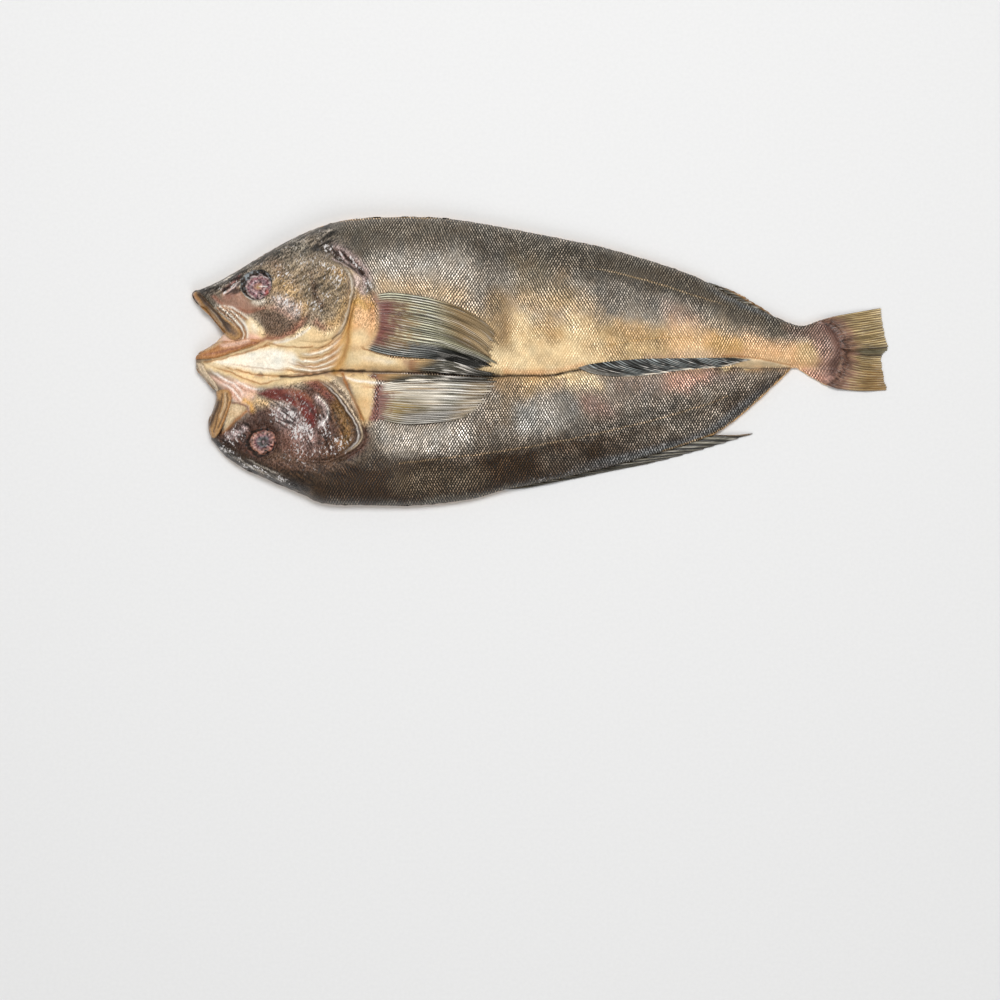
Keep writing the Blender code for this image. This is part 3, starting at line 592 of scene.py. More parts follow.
# Marks of colour: each has its form, tone, strength, width or feather, and points.
FLANKS = (
    # first side, from the head to the tail
    (patch, "pale_grey", 0.6, 8, ((-92, 62), (-70, 64), (-42, 62), (-42, 50), (-70, 48), (-92, 50))),
    (patch, "sand", 0.6, 7, ((-94, 46), (-70, 46), (-46, 42), (-44, 32), (-70, 36), (-92, 38))),
    (stroke, "saddle", 0.65, 9, ((-30, 66), (-27, 54), (-27, 36))),
    (patch, "olive_tan", 0.9, 6, ((-18, 60), (0, 58), (4, 44), (-2, 36), (-14, 40))),
    (stroke, "tan", 0.95, 8, ((-24, 32), (-22, 20), (-22, 12))),
    (stroke, "olive_tan", 0.5, 5, ((-25, 30), (-23, 16))),
    (patch, "tan", 0.5, 5, ((6, 50), (16, 50), (18, 30), (4, 32))),
    (patch, "saddle", 0.5, 5, ((4, 48), (16, 48), (18, 37), (6, 37))),
    (stroke, "olive_tan", 0.5, 5, ((2, 46), (18, 38))),
    (patch, "cream", 0.76, 4,
     ((-17, 28), (-6, 26), (-8, 10), (2, 6), (14, 10), (16, 26), (28, 24), (33, 12), (32, 0), (10, -6),
      (-30, -6), (-28, 2), (-16, 8))),
    (stroke, "tan", 0.5, 4.5, ((5, 27), (5, 12))),
    (stroke, "sand", 0.6, 6, ((-10, 34), (10, 34), (28, 32))),
    (stroke, "tan", 0.4, 5, ((28, 24), (30, 8))),
    (stroke, "saddle", 0.8, 11, ((36, 54), (38, 44), (40, 34))),
    (stroke, "saddle", 0.75, 9, ((56, 46), (62, 34))),
    (patch, "tan", 0.75, 7, ((34, 22), (54, 18), (74, 16), (76, 2), (54, 0), (38, -2))),
    (stroke, "sand", 0.8, 3, ((34, 14), (52, 7), (74, 5))),
    (patch, "pink", 0.35, 6, ((70, 34), (84, 32), (92, 24), (80, 20), (72, 24))),
    (patch, "peach", 0.6, 6, ((74, 24), (88, 22), (98, 14), (94, 4), (78, 2), (74, 10))),
    (patch, "gold", 0.9, 4, ((96, 16), (118, 14), (122, 2), (98, 2))),
    (patch, "peach", 0.9, 5, ((116, 18), (136, 14), (150, 9), (158, -4), (150, -5), (140, -3), (120, 0))),
    (stroke, "dark_back", 0.85, 6.5, ((26, 58), (40, 54.5), (68, 45), (92, 37), (116, 28.5), (134, 20.5))),
    (stroke, "edge", 0.7, 4, ((138, 19), (148, 15), (158, 14))),
    (stroke, "olive_tan", 0.3, 5, ((102, 26), (124, 18), (138, 14.6))),
    (stroke, "rose", 0.4, 4, ((144, 17), (156, 16))),
    (patch, "tan", 0.4, 5, ((94, 26), (112, 22), (112, 14), (94, 16))),
    (patch, "back", 0.5, 6, ((76, 38), (104, 33), (134, 22), (118, 18), (96, 24), (76, 28))),
    (patch, "edge", 0.4, 5, ((-106, 80), (-80, 82), (-76, 70), (-102, 68))),
    (stroke, "dark_back", 0.5, 4, ((110, 28), (126, 21), (136, 17))),
    (patch, "edge", 0.3, 6, ((-76, 78), (-36, 78), (-34, 68), (-76, 66))),
    (stroke, "tan", 0.25, 5, ((0, 2), (12, -2))),
    (patch, "edge", 0.35, 5, ((-22, 72), (8, 70), (6, 62), (-20, 64))),
    (tapered, "slate", 0.6, 1.5, ((92, 43), (104, 37.4), (116, 31.4), (128, 25.6), (137, 22.4))),
    (stroke, "rose", 0.4, 3, ((60, 1), (90, 3), (116, 3))),
    (patch, "sand", 0.9, 4, ((146, 10), (156, 10), (166, 4), (166, -8), (154, -6), (148, -2))),
    (patch, "dark_back", 0.35, 4,
     ((140, 20), (154, 20), (164, 22), (170, 18), (168, 12), (156, 13), (144, 16))),
    (stroke, "rose", 0.5, 5, ((158, 13), (163, 4), (160, -6))),
    (stroke, "pink", 0.95, 5, ((149, -7), (158, -10), (168, -12))),
    (stroke, "rose", 0.6, 4, ((160, 10), (164, 4), (163, -4))),
    (stroke, "tan", 0.9, 5, ((176, 16), (177, 4), (174, -8))),
    (stroke, "rose", 0.9, 6, ((164, 20), (168, 14), (169.4, 7), (168, -1), (166, -10))),
    (stroke, "purple", 0.95, 4.6, ((166, 19), (170.4, 14), (171.8, 7), (170, -1), (168, -6))),
    # second side, from the head to the tail
    (patch, "pale_grey", 0.75, 6, ((-92, -37), (-66, -38), (-44, -36), (-42, -46), (-60, -52), (-88, -52))),
    (patch, "second_mid", 0.2, 5, ((-38, -34), (-28, -32), (-28, -42), (-38, -44))),
    (patch, "tan", 0.6, 5, ((-28, -8), (-4, -8), (8, -9), (8, -20), (-20, -24))),
    (patch, "olive_tan", 0.6, 5, ((-30, -22), (-16, -24), (-12, -34), (-28, -36))),
    (stroke, "sand", 0.8, 5, ((-8, -12), (2, -13))),
    (stroke, "cream", 0.8, 5, ((19, -11), (30, -13))),
    (patch, "blue_grey", 0.9, 6, ((-16, -24), (4, -20), (18, -22), (20, -34), (-10, -40))),
    (stroke, "saddle", 0.6, 6, ((12, -22), (14, -30))),
    (stroke, "rose", 0.65, 6, ((28, -24), (38, -30))),
    (stroke, "second_mid", 0.7, 7, ((28, -38), (44, -36))),
    (stroke, "rose", 0.3, 7, ((48, -14), (66, -14))),
    (stroke, "saddle", 0.6, 6, ((50, -18), (62, -22))),
    (patch, "pink", 0.8, 5, ((74, -6), (96, -5), (98, -11), (84, -17), (72, -16))),
    (stroke, "wine", 0.25, 5, ((102, -8), (108, -9))),
    (patch, "saddle", 0.85, 6,
     ((18, -34), (44, -34), (72, -24), (92, -14), (76, -30), (40, -40), (20, -42))),
    (stroke, "second_mid", 0.75, 5, ((40, -51), (66, -42), (90, -36), (112, -22))),
    (stroke, "second_back", 0.6, 5, ((30, -56), (46, -51))),
    (patch, "flank", 0.15, 5, ((80, -31), (102, -27), (106, -36), (84, -43))),
    (patch, "flank", 0.2, 5, ((58, -35), (82, -33), (82, -41), (60, -45))),
    (patch, "olive_tan", 0.3, 6, ((-84, -62), (-40, -60), (-34, -72), (-80, -76))),
    (patch, "second_mid", 0.4, 5, ((0, -52), (24, -50), (24, -60), (2, -62))),
    (patch, "pale_grey", 0.3, 5, ((-2, -16), (10, -16), (12, -38), (-4, -38))),
    (patch, "second_back", 0.4, 6, ((100, -18), (120, -8), (140, -5), (124, -18), (108, -28))),
)
LINES = (
    (tapered, "sand", 0.4, 0.4, FIRST_LATERAL[5:10]),
    (stroke, "tan", 0.45, 0.4, SECOND_LATERAL[1:]),
    (tapered, "gold", 0.6, 0.5, ((28, 7), (50, 11), (68.5, 13.2), (90, 13))),
    # A grey band along the lower edge of the second side, painted as the sheen of its glinting scales.
    (tapered, "slate", 0.8, 2.6, ((10, -64), (36, -58), (56, -53.6), (92, -43), (118, -24), (140, -6))),
    # Painted shade in the groove where the second dorsal fin meets the body.
    (stroke, "dark", 0.5, 0.6, ((-10, -70), (30, -60.6), (56, -52.8), (92, -42), (104, -36.4), (122, -22))),
    (stroke, "golden", 0.5, 0.5, ((70, -51.6), (92, -44), (104, -38.6), (122, -24), (143, -4.6))),
    (stroke, "golden", 0.4, 0.5, ((-120, 80), (-86, 82.4), (-60, 81.8))),
    (stroke, "tan", 0.4, 1.6, ((-66, -4), (-40, -5))),
    (stroke, "peach", 0.8, 1.8, ((-20, -6), (4, -6.4), (18, -3.6), (24, -2.2))),
    # The red-brown and dark strokes along the belly seam are painted shade in its crack.
    (stroke, "red_brown", 0.6, 1.6, ((-122, -5.6), (-100, -5.6), (-70, -6.4))),
    (stroke, "dark", 0.9, 0.9, ((-118, -5.2), (-90, -5.8), (-57.8, -6.8), (-24, -8.4))),
    (stroke, "dark", 0.9, 0.7, ((-26, -8.4), (-4, -8.4), (5.4, -8.4), (12, -7), (20, -5.4), (27, -4.6))),
    (stroke, "dark", 0.8, 0.6, ((8, -8), (9.8, -7.4), (12.6, -6.8))),
    (patch, "dark", 0.85, 1.6, ((-62, -5.6), (-44, -5), (-26, -7), (-24, -9.4), (-40, -10.6), (-56, -8.6))),
    # A thin line of painted highlight along the belly seam.
    (tapered, "white", 0.5, 0.4, ((-100, -6.6), (-83.6, -7.2), (-66.4, -7.6))),
    (patch, "membrane", 0.95, 0.8, ANAL_MEMBRANE),
    (stroke, "rust", 0.7, 0.5, ((104, 3), (116, 2.6), (128, 1), (144, -2.4))),
    # Painted shade in the belly seam below the membrane.
    (stroke, "dark", 0.8, 0.6, ((100, -4.4), (120, -4), (143.4, -4.2))),
)
HEADS = (
    # first side
    (patch, "cheek", 0.95, 6,
     ((-186, 42), (-160, 58), (-128, 60), (-108, 50), (-112, 24), (-140, 14), (-168, 26))),
    (stroke, "speck_grey", 0.85, 5, FIRST_BROW),
    (stroke, "back", 0.85, 6, ((-150, 62), (-134, 66), (-118, 68))),
    (stroke, "cheek_dark", 0.5, 4, ((-152, 56), (-146, 46), (-140, 40))),
    (stroke, "gold", 0.5, 5, ((-150, 44), (-142, 39), (-137, 32))),
    (stroke, "opercle", 0.7, 4, ((-141, 52), (-134, 46), (-132, 36))),
    (patch, "snout", 0.9, 2.4,
     ((-184, 35), (-180.5, 39), (-174, 41), (-169, 38), (-166, 33), (-160, 30), (-167, 28), (-176, 29))),
    (stroke, "red_brown", 0.8, 1.3,
     ((-187, 36.5), (-181.3, 31.9), (-173.2, 29.3), (-165.2, 28.1), (-158, 30))),
    (stroke, "dark_snout", 0.9, 2.4, ((-195.2, 38.8), (-188.7, 42.5), (-180.2, 45.8), (-173, 49.2))),
    (tapered, "pale_grey", 0.7, 0.5, ((-192, 41.2), (-184, 45), (-174, 50.2), (-166, 54))),
    (tapered, "dark", 0.8, 0.6, ((-194.2, 37.9), (-186.9, 40.3), (-180.9, 43.1))),
    (stroke, "wine", 0.8, 1.1, ((-172, 48.6), (-176, 44.4), (-181.1, 40.4))),
    # Painted highlight on the ridge beside the nostril.
    (tapered, "lavender", 0.9, 0.8, ((-170, 46.4), (-174.8, 42.4), (-180.3, 38.2))),
    (stroke, "wine", 0.4, 2, ((-174, 40.5), (-178.6, 36.9))),
    (tapered, "dark", 0.7, 0.6, ((-184, 38.4), (-177.6, 42.2), (-171, 47.4))),
    (tapered, "cheek_dark", 0.3, 1.4, ((-186, 36.4), (-178, 33.6), (-170, 33))),
    # Pale pinkish sheen painted where the glints of the first cheek gather.
    (patch, "lavender", 0.5, 3, ((-154, 36), (-146, 36), (-137, 31), (-137, 25), (-142, 25), (-150, 31))),
    (patch, "cheek_dark", 0.9, 3.4,
     ((-163, 29), (-152, 29), (-144, 25), (-138, 22), (-140, 18), (-147, 14), (-157, 15))),
    # Painted highlight just under the first eye.
    (stroke, "pale", 0.7, 1.4, ((-163.5, 33.6), (-160.8, 33), (-158.4, 34.4))),
    (tapered, "snout", 0.7, 1.8, ((-158, 31), (-150.7, 29.5), (-143, 25.3), (-138, 22.7))),
    (stroke, "red_brown", 0.9, 2.2,
     ((-158.3, 12.8), (-150.7, 12.6), (-144.2, 14.8), (-138.6, 19.2), (-135, 24.5))),
    (tapered, "tan", 0.7, 1.6, ((-136.4, 22.6), (-134.4, 29.1), (-132.4, 34.5))),
    (patch, "cream", 0.95, 1.6, ((-168, 25), (-163, 23), (-159, 18), (-158, 13), (-163, 13), (-168, 18))),
    (patch, "ivory", 0.5, 2, ((-166, 23), (-162, 20), (-162, 15), (-166, 17))),
    (patch, "opercle", 0.9, 3.6,
     ((-129, 38), (-127, 50), (-118, 54), (-110, 50), (-110, 38), (-114, 26), (-126, 30))),
    (tapered, "tan", 0.7, 2.6, ((-122, 53), (-114, 50), (-111, 42))),
    # Painted shadow beside the edge of the preopercle.
    (stroke, "cheek_dark", 0.8, 2.2, ((-129.6, 43.2), (-127.9, 36.3), (-124.7, 31.6))),
    (tapered, "golden", 0.4, 2.6, ((-126, 24), (-119.1, 21.2), (-113.4, 27), (-110.4, 38))),
    (tapered, "red_brown", 0.7, 2, ((-130.1, 24.4), (-125.9, 19.8), (-121, 18))),
    # Painted shade in the groove of the preopercle.
    (stroke, "cheek_dark", 0.5, 0.8, PREOPERCLE),
    (stroke, "dark_snout", 0.7, 3.4, ROUGH_SKIN),
    (tapered, "purple", 0.85, 3.6, ROUGH_SKIN),
    # Painted highlights on the crinkles of the gill skin; over its grooves, dark lines of painted shade
    # with painted highlights beside them.
    (tapered, "lavender", 0.5, 1.6, shifted(ROUGH_SKIN, 2.4, 1.6)),
    *((stroke, "dark", 0.8, 0.7, path) for path in ROUGH_LINES),
    *((stroke, "lavender", 0.7, 0.5, shifted(path, -1.2, -1)) for path in ROUGH_LINES),
    (stroke, "lavender", 0.7, 1.4, ((-100.6, 47), (-103.5, 42.5), (-101.4, 38))),
    # throat and mouth
    (patch, "cream", 0.95, 1.8,
     ((-158, 11), (-148, 11.5), (-140, 15.4), (-133, 20), (-122, 16), (-112, 21), (-108, 20), (-109, 4),
      (-118, -4), (-140, -7), (-160, -6), (-190, -1), (-170, 4))),
    (patch, "sand", 0.35, 3,
     ((-132, 10), (-120, 12), (-110, 16), (-111, 4), (-120, -4), (-136, -6), (-140, 2))),
    (patch, "ivory", 0.95, 2.2,
     ((-187, -0.8), (-174.8, 3), (-158.7, 6.6), (-147, 6), (-140, 3), (-142, -3.4), (-158.7, -6),
      (-174.8, -3.6))),
    *((tapered, "ivory", 0.8, 0.9, path) for path in THROAT_FOLDS),
    (patch, "orange_brown", 0.25, 2, ((-117, 17), (-111, 14), (-112, 2), (-117, -3), (-121, 2), (-120, 9))),
    *((tapered, "rust", 0.8, 0.45, path) for path in THROAT_GROOVES),
    *((tapered, "rust", 0.5, 0.3, path) for path in THROAT_CREASES),
    (tapered, "gold", 0.6, 2, ((-109.6, 26), (-111, 18), (-114, 11), (-118, 7))),
    (stroke, "pale", 0.7, 0.8, ((-152, 10.2), (-142, 12.6), (-132, 18.4))),
    (stroke, "rust", 0.75, 0.5, ((-157.6, 8.8), (-155.4, 10.4), (-148.7, 8.6), (-138, 7.6), (-130, 8.4))),
    (patch, "mouth_pink", 0.95, 1.8,
     ((-182, 16), (-177, 12), (-170, 12.4), (-166, 16), (-160, 13), (-166, 9), (-184, 8))),
    (stroke, "red_brown", 0.7, 1.3, ((-190.9, 2.6), (-180.5, 5.4), (-168.4, 8.8), (-158.7, 11.4))),
    (stroke, "rust", 0.8, 0.5, JAW_LINE),
    *((stroke, "pale", 0.75, 0.8, path) for path in JAW_FOLDS),
    *((stroke, "rust", 0.8, 0.5, shifted(path, -1.3, -0.5)) for path in JAW_FOLDS),
    (patch, "cream", 0.95, 2,
     ((-194, -1), (-184, -2.4), (-168, -8), (-150, -8.6), (-126, -7), (-118, -9), (-122, -11.6),
      (-134, -12.4), (-158, -14.6), (-168, -14), (-180, -8), (-190, -5))),
    # Painted shade along the belly seam under the throat.
    (tapered, "red_brown", 0.5, 1.4, ((-146, -9), (-132, -7.6), (-118, -7), (-108, -7))),
    (patch, "mouth_pink", 0.9, 2.2,
     ((-189, -9), (-180, -10), (-172, -12), (-163, -15.4), (-164, -21), (-172, -25), (-180, -17))),
    # Painted highlights on the mouth folds.
    *((tapered, "white", 0.6, 0.7, path) for path in MOUTH_FOLDS),
    *((tapered, "red_brown", 0.5, 0.6, shifted(path, -0.6, -2)) for path in MOUTH_FOLDS),
    *((tapered, "rust", 0.85, 0.5, path) for path in GULAR_LINES),
    (tapered, "rust", 0.5, 0.5, ((-182.9, -0.7), (-166.8, -3.3), (-150.7, -5), (-130.6, -6.5))),
    (patch, "membrane", 0.95, 1.2,
     ((-177, -24), (-171.6, -24), (-168.2, -27.3), (-173.8, -32.8), (-181.5, -41), (-179.5, -32))),
    (stroke, "orange_brown", 0.8, 0.9, ((-168, -28.6), (-173.8, -34), (-181.6, -41.6))),
    (stroke, "orange", 0.9, 1.8, ((-169.6, -22.8), (-166, -24.3), (-164.6, -29))),
    (stroke, "wine", 0.7, 0.6, ((-176.5, -24.2), (-171.4, -24.4), (-167.4, -27), (-165.4, -31))),
    (tapered, "sand", 0.8, 2.4, ((-165, -21), (-160.1, -24), (-154, -25))),
    # cheek of the second side
    (patch, "purple", 0.95, 3,
     ((-186, -44), (-166, -30), (-156, -26), (-146, -26), (-134, -14), (-120, -14), (-104, -34),
      (-103, -45), (-116, -57), (-150, -60))),
    (patch, "dark", 0.35, 4,
     ((-180, -46), (-166, -34), (-150, -28), (-142, -30), (-146, -40), (-152, -54), (-168, -52))),
    (stroke, "cheek_dark", 0.8, 5, ((-156, -54), (-136, -58), (-116, -60))),
    (stroke, "red_brown", 0.08, 4, ((-152, -60), (-138, -61), (-124, -62))),
    # Pale pinkish sheen painted under the glints of the second cheek.
    (patch, "lavender", 0.4, 4,
     ((-154, -24), (-144, -22), (-134, -34), (-126, -48), (-132, -52), (-146, -40))),
    (patch, "red_brown", 0.4, 4,
     ((-146, -36), (-134, -40), (-126, -46), (-126, -54), (-138, -56), (-148, -48))),
    (patch, "second_back", 0.85, 5,
     ((-160, -62), (-130, -64), (-108, -62), (-104, -74), (-130, -76), (-150, -67))),
    (stroke, "dark_snout", 0.9, 3,
     ((-186, -47), (-182.9, -50.8), (-174.9, -56), (-164.6, -61.6), (-149.6, -67.4), (-134, -74))),
    (tapered, "pale_grey", 0.7, 0.6, SECOND_BROW),
    (tapered, "pale_grey", 0.6, 0.5, ((-170, -55), (-158, -61), (-146, -66))),
    (patch, "maroon", 0.95, 1.2, MAROON),
    (tapered, "red_brown", 0.7, 1.6, ((-150, -17.6), (-142, -17), (-134, -20), (-128, -26))),
    (tapered, "dark", 0.6, 0.9, ((-152, -20), (-143, -20.4), (-135, -24), (-129, -31), (-126, -38))),
    (stroke, "rose", 0.6, 1, ((-143.9, -17.9), (-139.6, -22.1), (-137.4, -28.5))),
    (patch, "red_brown", 0.9, 1.6,
     ((-136, -12), (-128.6, -10.6), (-123.4, -13.4), (-117.4, -20.8), (-122, -21), (-130, -15.4))),
    (tapered, "wine", 0.9, 1.8, ((-134.4, -13), (-127.5, -15), (-121.5, -20.3), (-118, -26))),
    (stroke, "lavender", 0.95, 1.8, PINK_FOLD),
    # Painted highlight along the pink fold.
    (stroke, "white", 0.9, 0.5, shifted(PINK_FOLD, 0.8, 0.4)),
    (tapered, "olive", 0.95, 4.4,
     ((-121, -19), (-115.4, -27.8), (-111, -37.8), (-112, -46.8), (-119, -51))),
    (stroke, "dark", 0.5, 1, ((-118, -28), (-115.6, -36), (-117, -43))),
    # A painted glint on the snout of the second side.
    (stroke, "lavender", 0.7, 1.8, ((-178.6, -43.4), (-173.8, -41.6), (-169.3, -38.3))),
    (stroke, "purple", 0.9, 2.4, ((-101, -39), (-99.5, -43.6), (-102.4, -49.4), (-108.9, -54.8))),
    # collars and the roots of the fins
    (patch, "cream", 0.95, 1.6,
     ((-110, 8), (-101, 7.4), (-94, 4.6), (-86, 2.8), (-76, 1.6), (-68, -4), (-90, -4.8), (-114, -4),
      (-112, 2))),
    (tapered, "ivory", 0.35, 1.6, ((-106, 2.6), (-92, 0.4), (-80, -1))),
    (patch, "red_brown", 0.6, 1.6, ((-79, 1), (-73, 0.6), (-67, -1), (-68, -4.6), (-77, -5))),
    (tapered, "sand", 0.5, 1.6, ((-110, -3), (-90, -3.8), (-70, -4))),
    (patch, "peach", 0.95, 2, COLLAR),
    (patch, "cream", 0.9, 2.4, ((-109, 16), (-102, 18), (-98, 12), (-102, 8.4), (-109, 7.6))),
    (tapered, "golden", 0.9, 3.2, ((-106.6, 37), (-101.6, 32.2), (-97.6, 31), (-96, 35))),
    (tapered, "rust", 0.5, 1.8, ((-102, 36), (-98.6, 32), (-96.4, 24))),
    (tapered, "orange_brown", 0.6, 1.6, ((-97, 33), (-95.4, 26), (-96, 20))),
    (stroke, "golden", 0.7, 2.6, RUST_LINE),
    (tapered, "rust", 0.6, 1, RUST_LINE),
    (stroke, "rust", 0.8, 0.5, BELLY_FOLD),
    (patch, "wine", 0.85, 2.4,
     ((-96.4, 38.4), (-92.6, 36), (-88.6, 28), (-89, 18), (-94, 10), (-98, 8.4), (-94.4, 14), (-93, 22),
      (-93.8, 31))),
    (patch, "cream", 0.95, 1.6, SECOND_COLLAR),
    (patch, "gold", 0.6, 3, ((-108, -20), (-100, -20), (-95.6, -24), (-97, -34), (-102, -36))),
    # Painted highlight along the fold of the second collar.
    (stroke, "white", 0.7, 0.8,
     ((-112.8, -9.2), (-102.3, -11.6), (-94.3, -12.6), (-86.5, -13.2), (-77.9, -14.1))),
    (tapered, "rust", 0.8, 0.5,
     ((-105.8, -14), (-100.8, -14.6), (-94, -15.5), (-83.6, -15.8), (-75, -16.9))),
    (stroke, "rust", 0.9, 0.8, SECOND_RUST_LINE),
    (tapered, "rim", 0.8, 1.4,
     ((-126, -8.6), (-119.2, -9.7), (-113, -16.2), (-107.6, -24.4), (-104, -31.6))),
    (patch, "wine", 0.85, 1.4,
     ((-95.4, -14), (-86.4, -13.8), (-84.4, -18), (-86.4, -24), (-89, -29), (-92.6, -33.6), (-98, -34),
      (-96.8, -28), (-95.6, -21))),
    (patch, "dark", 0.5, 0.8, ((-96, -6.8), (-80, -7.4), (-70, -8), (-72, -9.4), (-86, -9.8), (-96, -9))),
    (stroke, "wine", 0.9, 1.6, ((-96.6, -8.7), (-90.6, -9.6), (-84.3, -9.4))),
    # Painted shade in the belly seam under the head.
    (stroke, "dark", 0.85, 0.7,
     ((-149.1, -9.2), (-135.3, -8.6), (-121.6, -6.1), (-114.7, -5.3), (-100.9, -5.5))),
)
# Where glints stand close together, from 0 for none to 1 for half of the skin.
GLINTS = (
    (patch, 0.2, 8, ((-92, 60), (-70, 62), (-42, 58), (-42, 48), (-70, 46), (-90, 50))),
    (patch, 0.25, 6,
     ((-94, -38), (-66, -38), (-30, -28), (6, -20), (20, -30), (-10, -42), (-60, -52), (-90, -52))),
    (patch, 0.3, 5, ((-154, 54), (-134, 60), (-114, 54), (-112, 34), (-128, 28), (-138, 24), (-154, 34))),
    (stroke, 0.35, 2.6, ((-6, -69), (28, -60.6), (56, -52.6), (92, -42), (118, -22))),
    (stroke, 0.25, 4, FIRST_BROW),
    (patch, 0.5, 2, ((-184, 41), (-176, 46), (-169, 50), (-168, 43), (-172, 39), (-180, 38))),
    (patch, 0.25, 3, ((-154, 52), (-150, 57), (-143, 52), (-142, 46), (-150, 47))),
    (patch, 0.2, 4, ((-140, 60), (-128, 60), (-124, 54), (-136, 52))),
    (patch, 0.28, 3, ((-153, 37), (-145, 37), (-138, 31), (-138, 26), (-147, 31))),
    (patch, 0.3, 2, ((-131, 34), (-126, 33), (-123, 26), (-127, 26), (-130, 30))),
    (patch, 0.2, 4, ((-125, 56), (-116, 55), (-110, 49), (-113, 44), (-122, 47))),
    (stroke, 0.55, 3.2, ROUGH_SKIN),
    (patch, 0.5, 3, ((-186, -43), (-172, -37), (-168, -44), (-178, -50))),
    (patch, 0.4, 3, ((-156, -25), (-144, -23), (-139, -31), (-144, -36), (-154, -33))),
    (patch, 0.42, 4, ((-143, -36), (-133, -36), (-127, -48), (-128, -57), (-140, -58), (-146, -46))),
    (patch, 0.6, 2, ((-128, -30), (-123, -30), (-120, -38), (-123, -44), (-127, -40))),
    (patch, 0.15, 3, ((-150, -50), (-128, -58), (-112, -58), (-108, -54), (-128, -64), (-150, -60))),
    (patch, 0.5, 3, ((-146, -28), (-138, -28), (-131, -38), (-136, -44), (-146, -38))),
    (patch, 0.5, 3, ((-122, -41), (-112, -42), (-108, -49), (-118, -55), (-126, -52))),
    (stroke, 0.55, 2.2, SECOND_BROW),
    (patch, 0.3, 1.5, MAROON),
    (patch, 0.35, 2, ((-96, -12), (-86, -12), (-86, -34), (-98, -35))),
    (stroke, 0.6, 1.4, ((-98, -8), (-84, -8.6), (-60, -9.4))),
)

# How the skin is finished, as (scales, specks, wet gloss).
FINISHES = {
    "bold": np.array((3.6, 0.1, 0.3)),
    "scaly": np.array((1.3, 0.1, 0.3)),
    "half": np.array((0.55, 0.1, 0.25)),
    "faint": np.array((0.2, 0.1, 0.2)),
    "smooth": np.array((0.0, 0.12, 0.35)),
    "specked": np.array((0.0, 1.0, 0.35)),
    "rough": np.array((0.0, 2.3, 0.3)),
    "damp": np.array((0.0, 0.25, 0.8)),
    "wet": np.array((0.0, 0.9, 1.0)),
}
FINISH_MARKS = (
    (patch, "bold", 0.9, 8, ((28, -34), (70, -22), (108, -8), (138, -6), (112, -30), (60, -52), (20, -60))),
    (patch, "bold", 0.5, 8, ((-36, 78), (24, 68), (40, 54), (16, 52), (-34, 62))),
    (patch, "bold", 0.6, 8, ((-70, -50), (20, -46), (34, -52), (10, -66), (-70, -78))),
    (patch, "bold", 0.5, 6, ((-46, -34), (-20, -28), (4, -34), (-2, -46), (-30, -52), (-48, -46))),
    (patch, "half", 0.9, 8,
     ((-28, 30), (-8, 34), (30, 32), (80, 24), (120, 16), (160, 8), (170, 0), (150, -8), (-28, -8))),
    (patch, "half", 0.9, 8, ((-92, 48), (-60, 42), (-44, 30), (-60, 32), (-92, 38))),
    (patch, "faint", 0.95, 6, ((-30, 10), (-14, 14), (20, 12), (36, 2), (28, -8), (-34, -8))),
    (patch, "faint", 0.6, 6, ((70, 10), (120, 6), (150, 4), (166, -4), (150, -6), (70, 0))),
    (patch, "specked", 0.85, 4,
     ((-202, 44), (-150, 74), (-124, 84), (-116, 78), (-104, 60), (-96, 40), (-98, 6), (-160, -10),
      (-202, 0))),
    (patch, "specked", 1, 4,
     ((-202, 0), (-120, -4), (-100, -10), (-98, -52), (-122, -66), (-130, -84), (-204, -50))),
    (stroke, "rough", 0.8, 4, ((-190, 42), (-176, 50), (-158, 59.5), (-140, 69.5), (-118, 78))),
    (patch, "smooth", 1, 1.6,
     ((-202, 2), (-182, 16), (-166, 26), (-157, 15), (-140, 14), (-132, 20), (-122, 15), (-111, 22),
      (-108, 33), (-98, 34), (-94, 10), (-86, 3), (-68, 1), (-68, -6), (-120, -10), (-160, -16),
      (-186, -18), (-202, -4))),
    (patch, "smooth", 0.9, 2, ((-189, 36), (-179, 41), (-171, 40), (-162, 30), (-168, 26), (-181, 31))),
    (patch, "wet", 1, 3,
     ((-186, -42), (-164, -26), (-150, -18), (-120, -16), (-103, -34), (-103, -46), (-116, -57),
      (-160, -58))),
    (patch, "smooth", 0.8, 2, SECOND_COLLAR),
    (patch, "smooth", 0.9, 1.2,
     ((-126, -9), (-104, -8), (-96, -14), (-98, -33), (-102, -34), (-108, -21), (-116, -13))),
    (patch, "specked", 0.5, 2, ((-107, 33), (-101, 36), (-96, 34), (-95, 22), (-99, 18), (-106, 24))),
    (patch, "smooth", 1, 0.8, ANAL_MEMBRANE),
    (patch, "faint", 0.9, 2.4,
     ((162, 24), (172, 18), (176, 4), (168, -14), (160, -12), (165, 0), (165, 12))),
    (patch, "damp", 1, 1.5, ((-190, -8), (-172, -12), (-162, -16), (-166, -28), (-182, -42), (-178, -18))),
    (patch, "damp", 0.8, 1.5, MAROON),
    (stroke, "wet", 0.9, 3, ROUGH_SKIN),
    (stroke, "wet", 0.7, 3, ((-188, -44), (-166, -60), (-140, -72))),
    (stroke, "smooth", 0.9, 1.6, FIRST_RIM),
    (stroke, "smooth", 0.9, 1.8, SECOND_RIM),
)

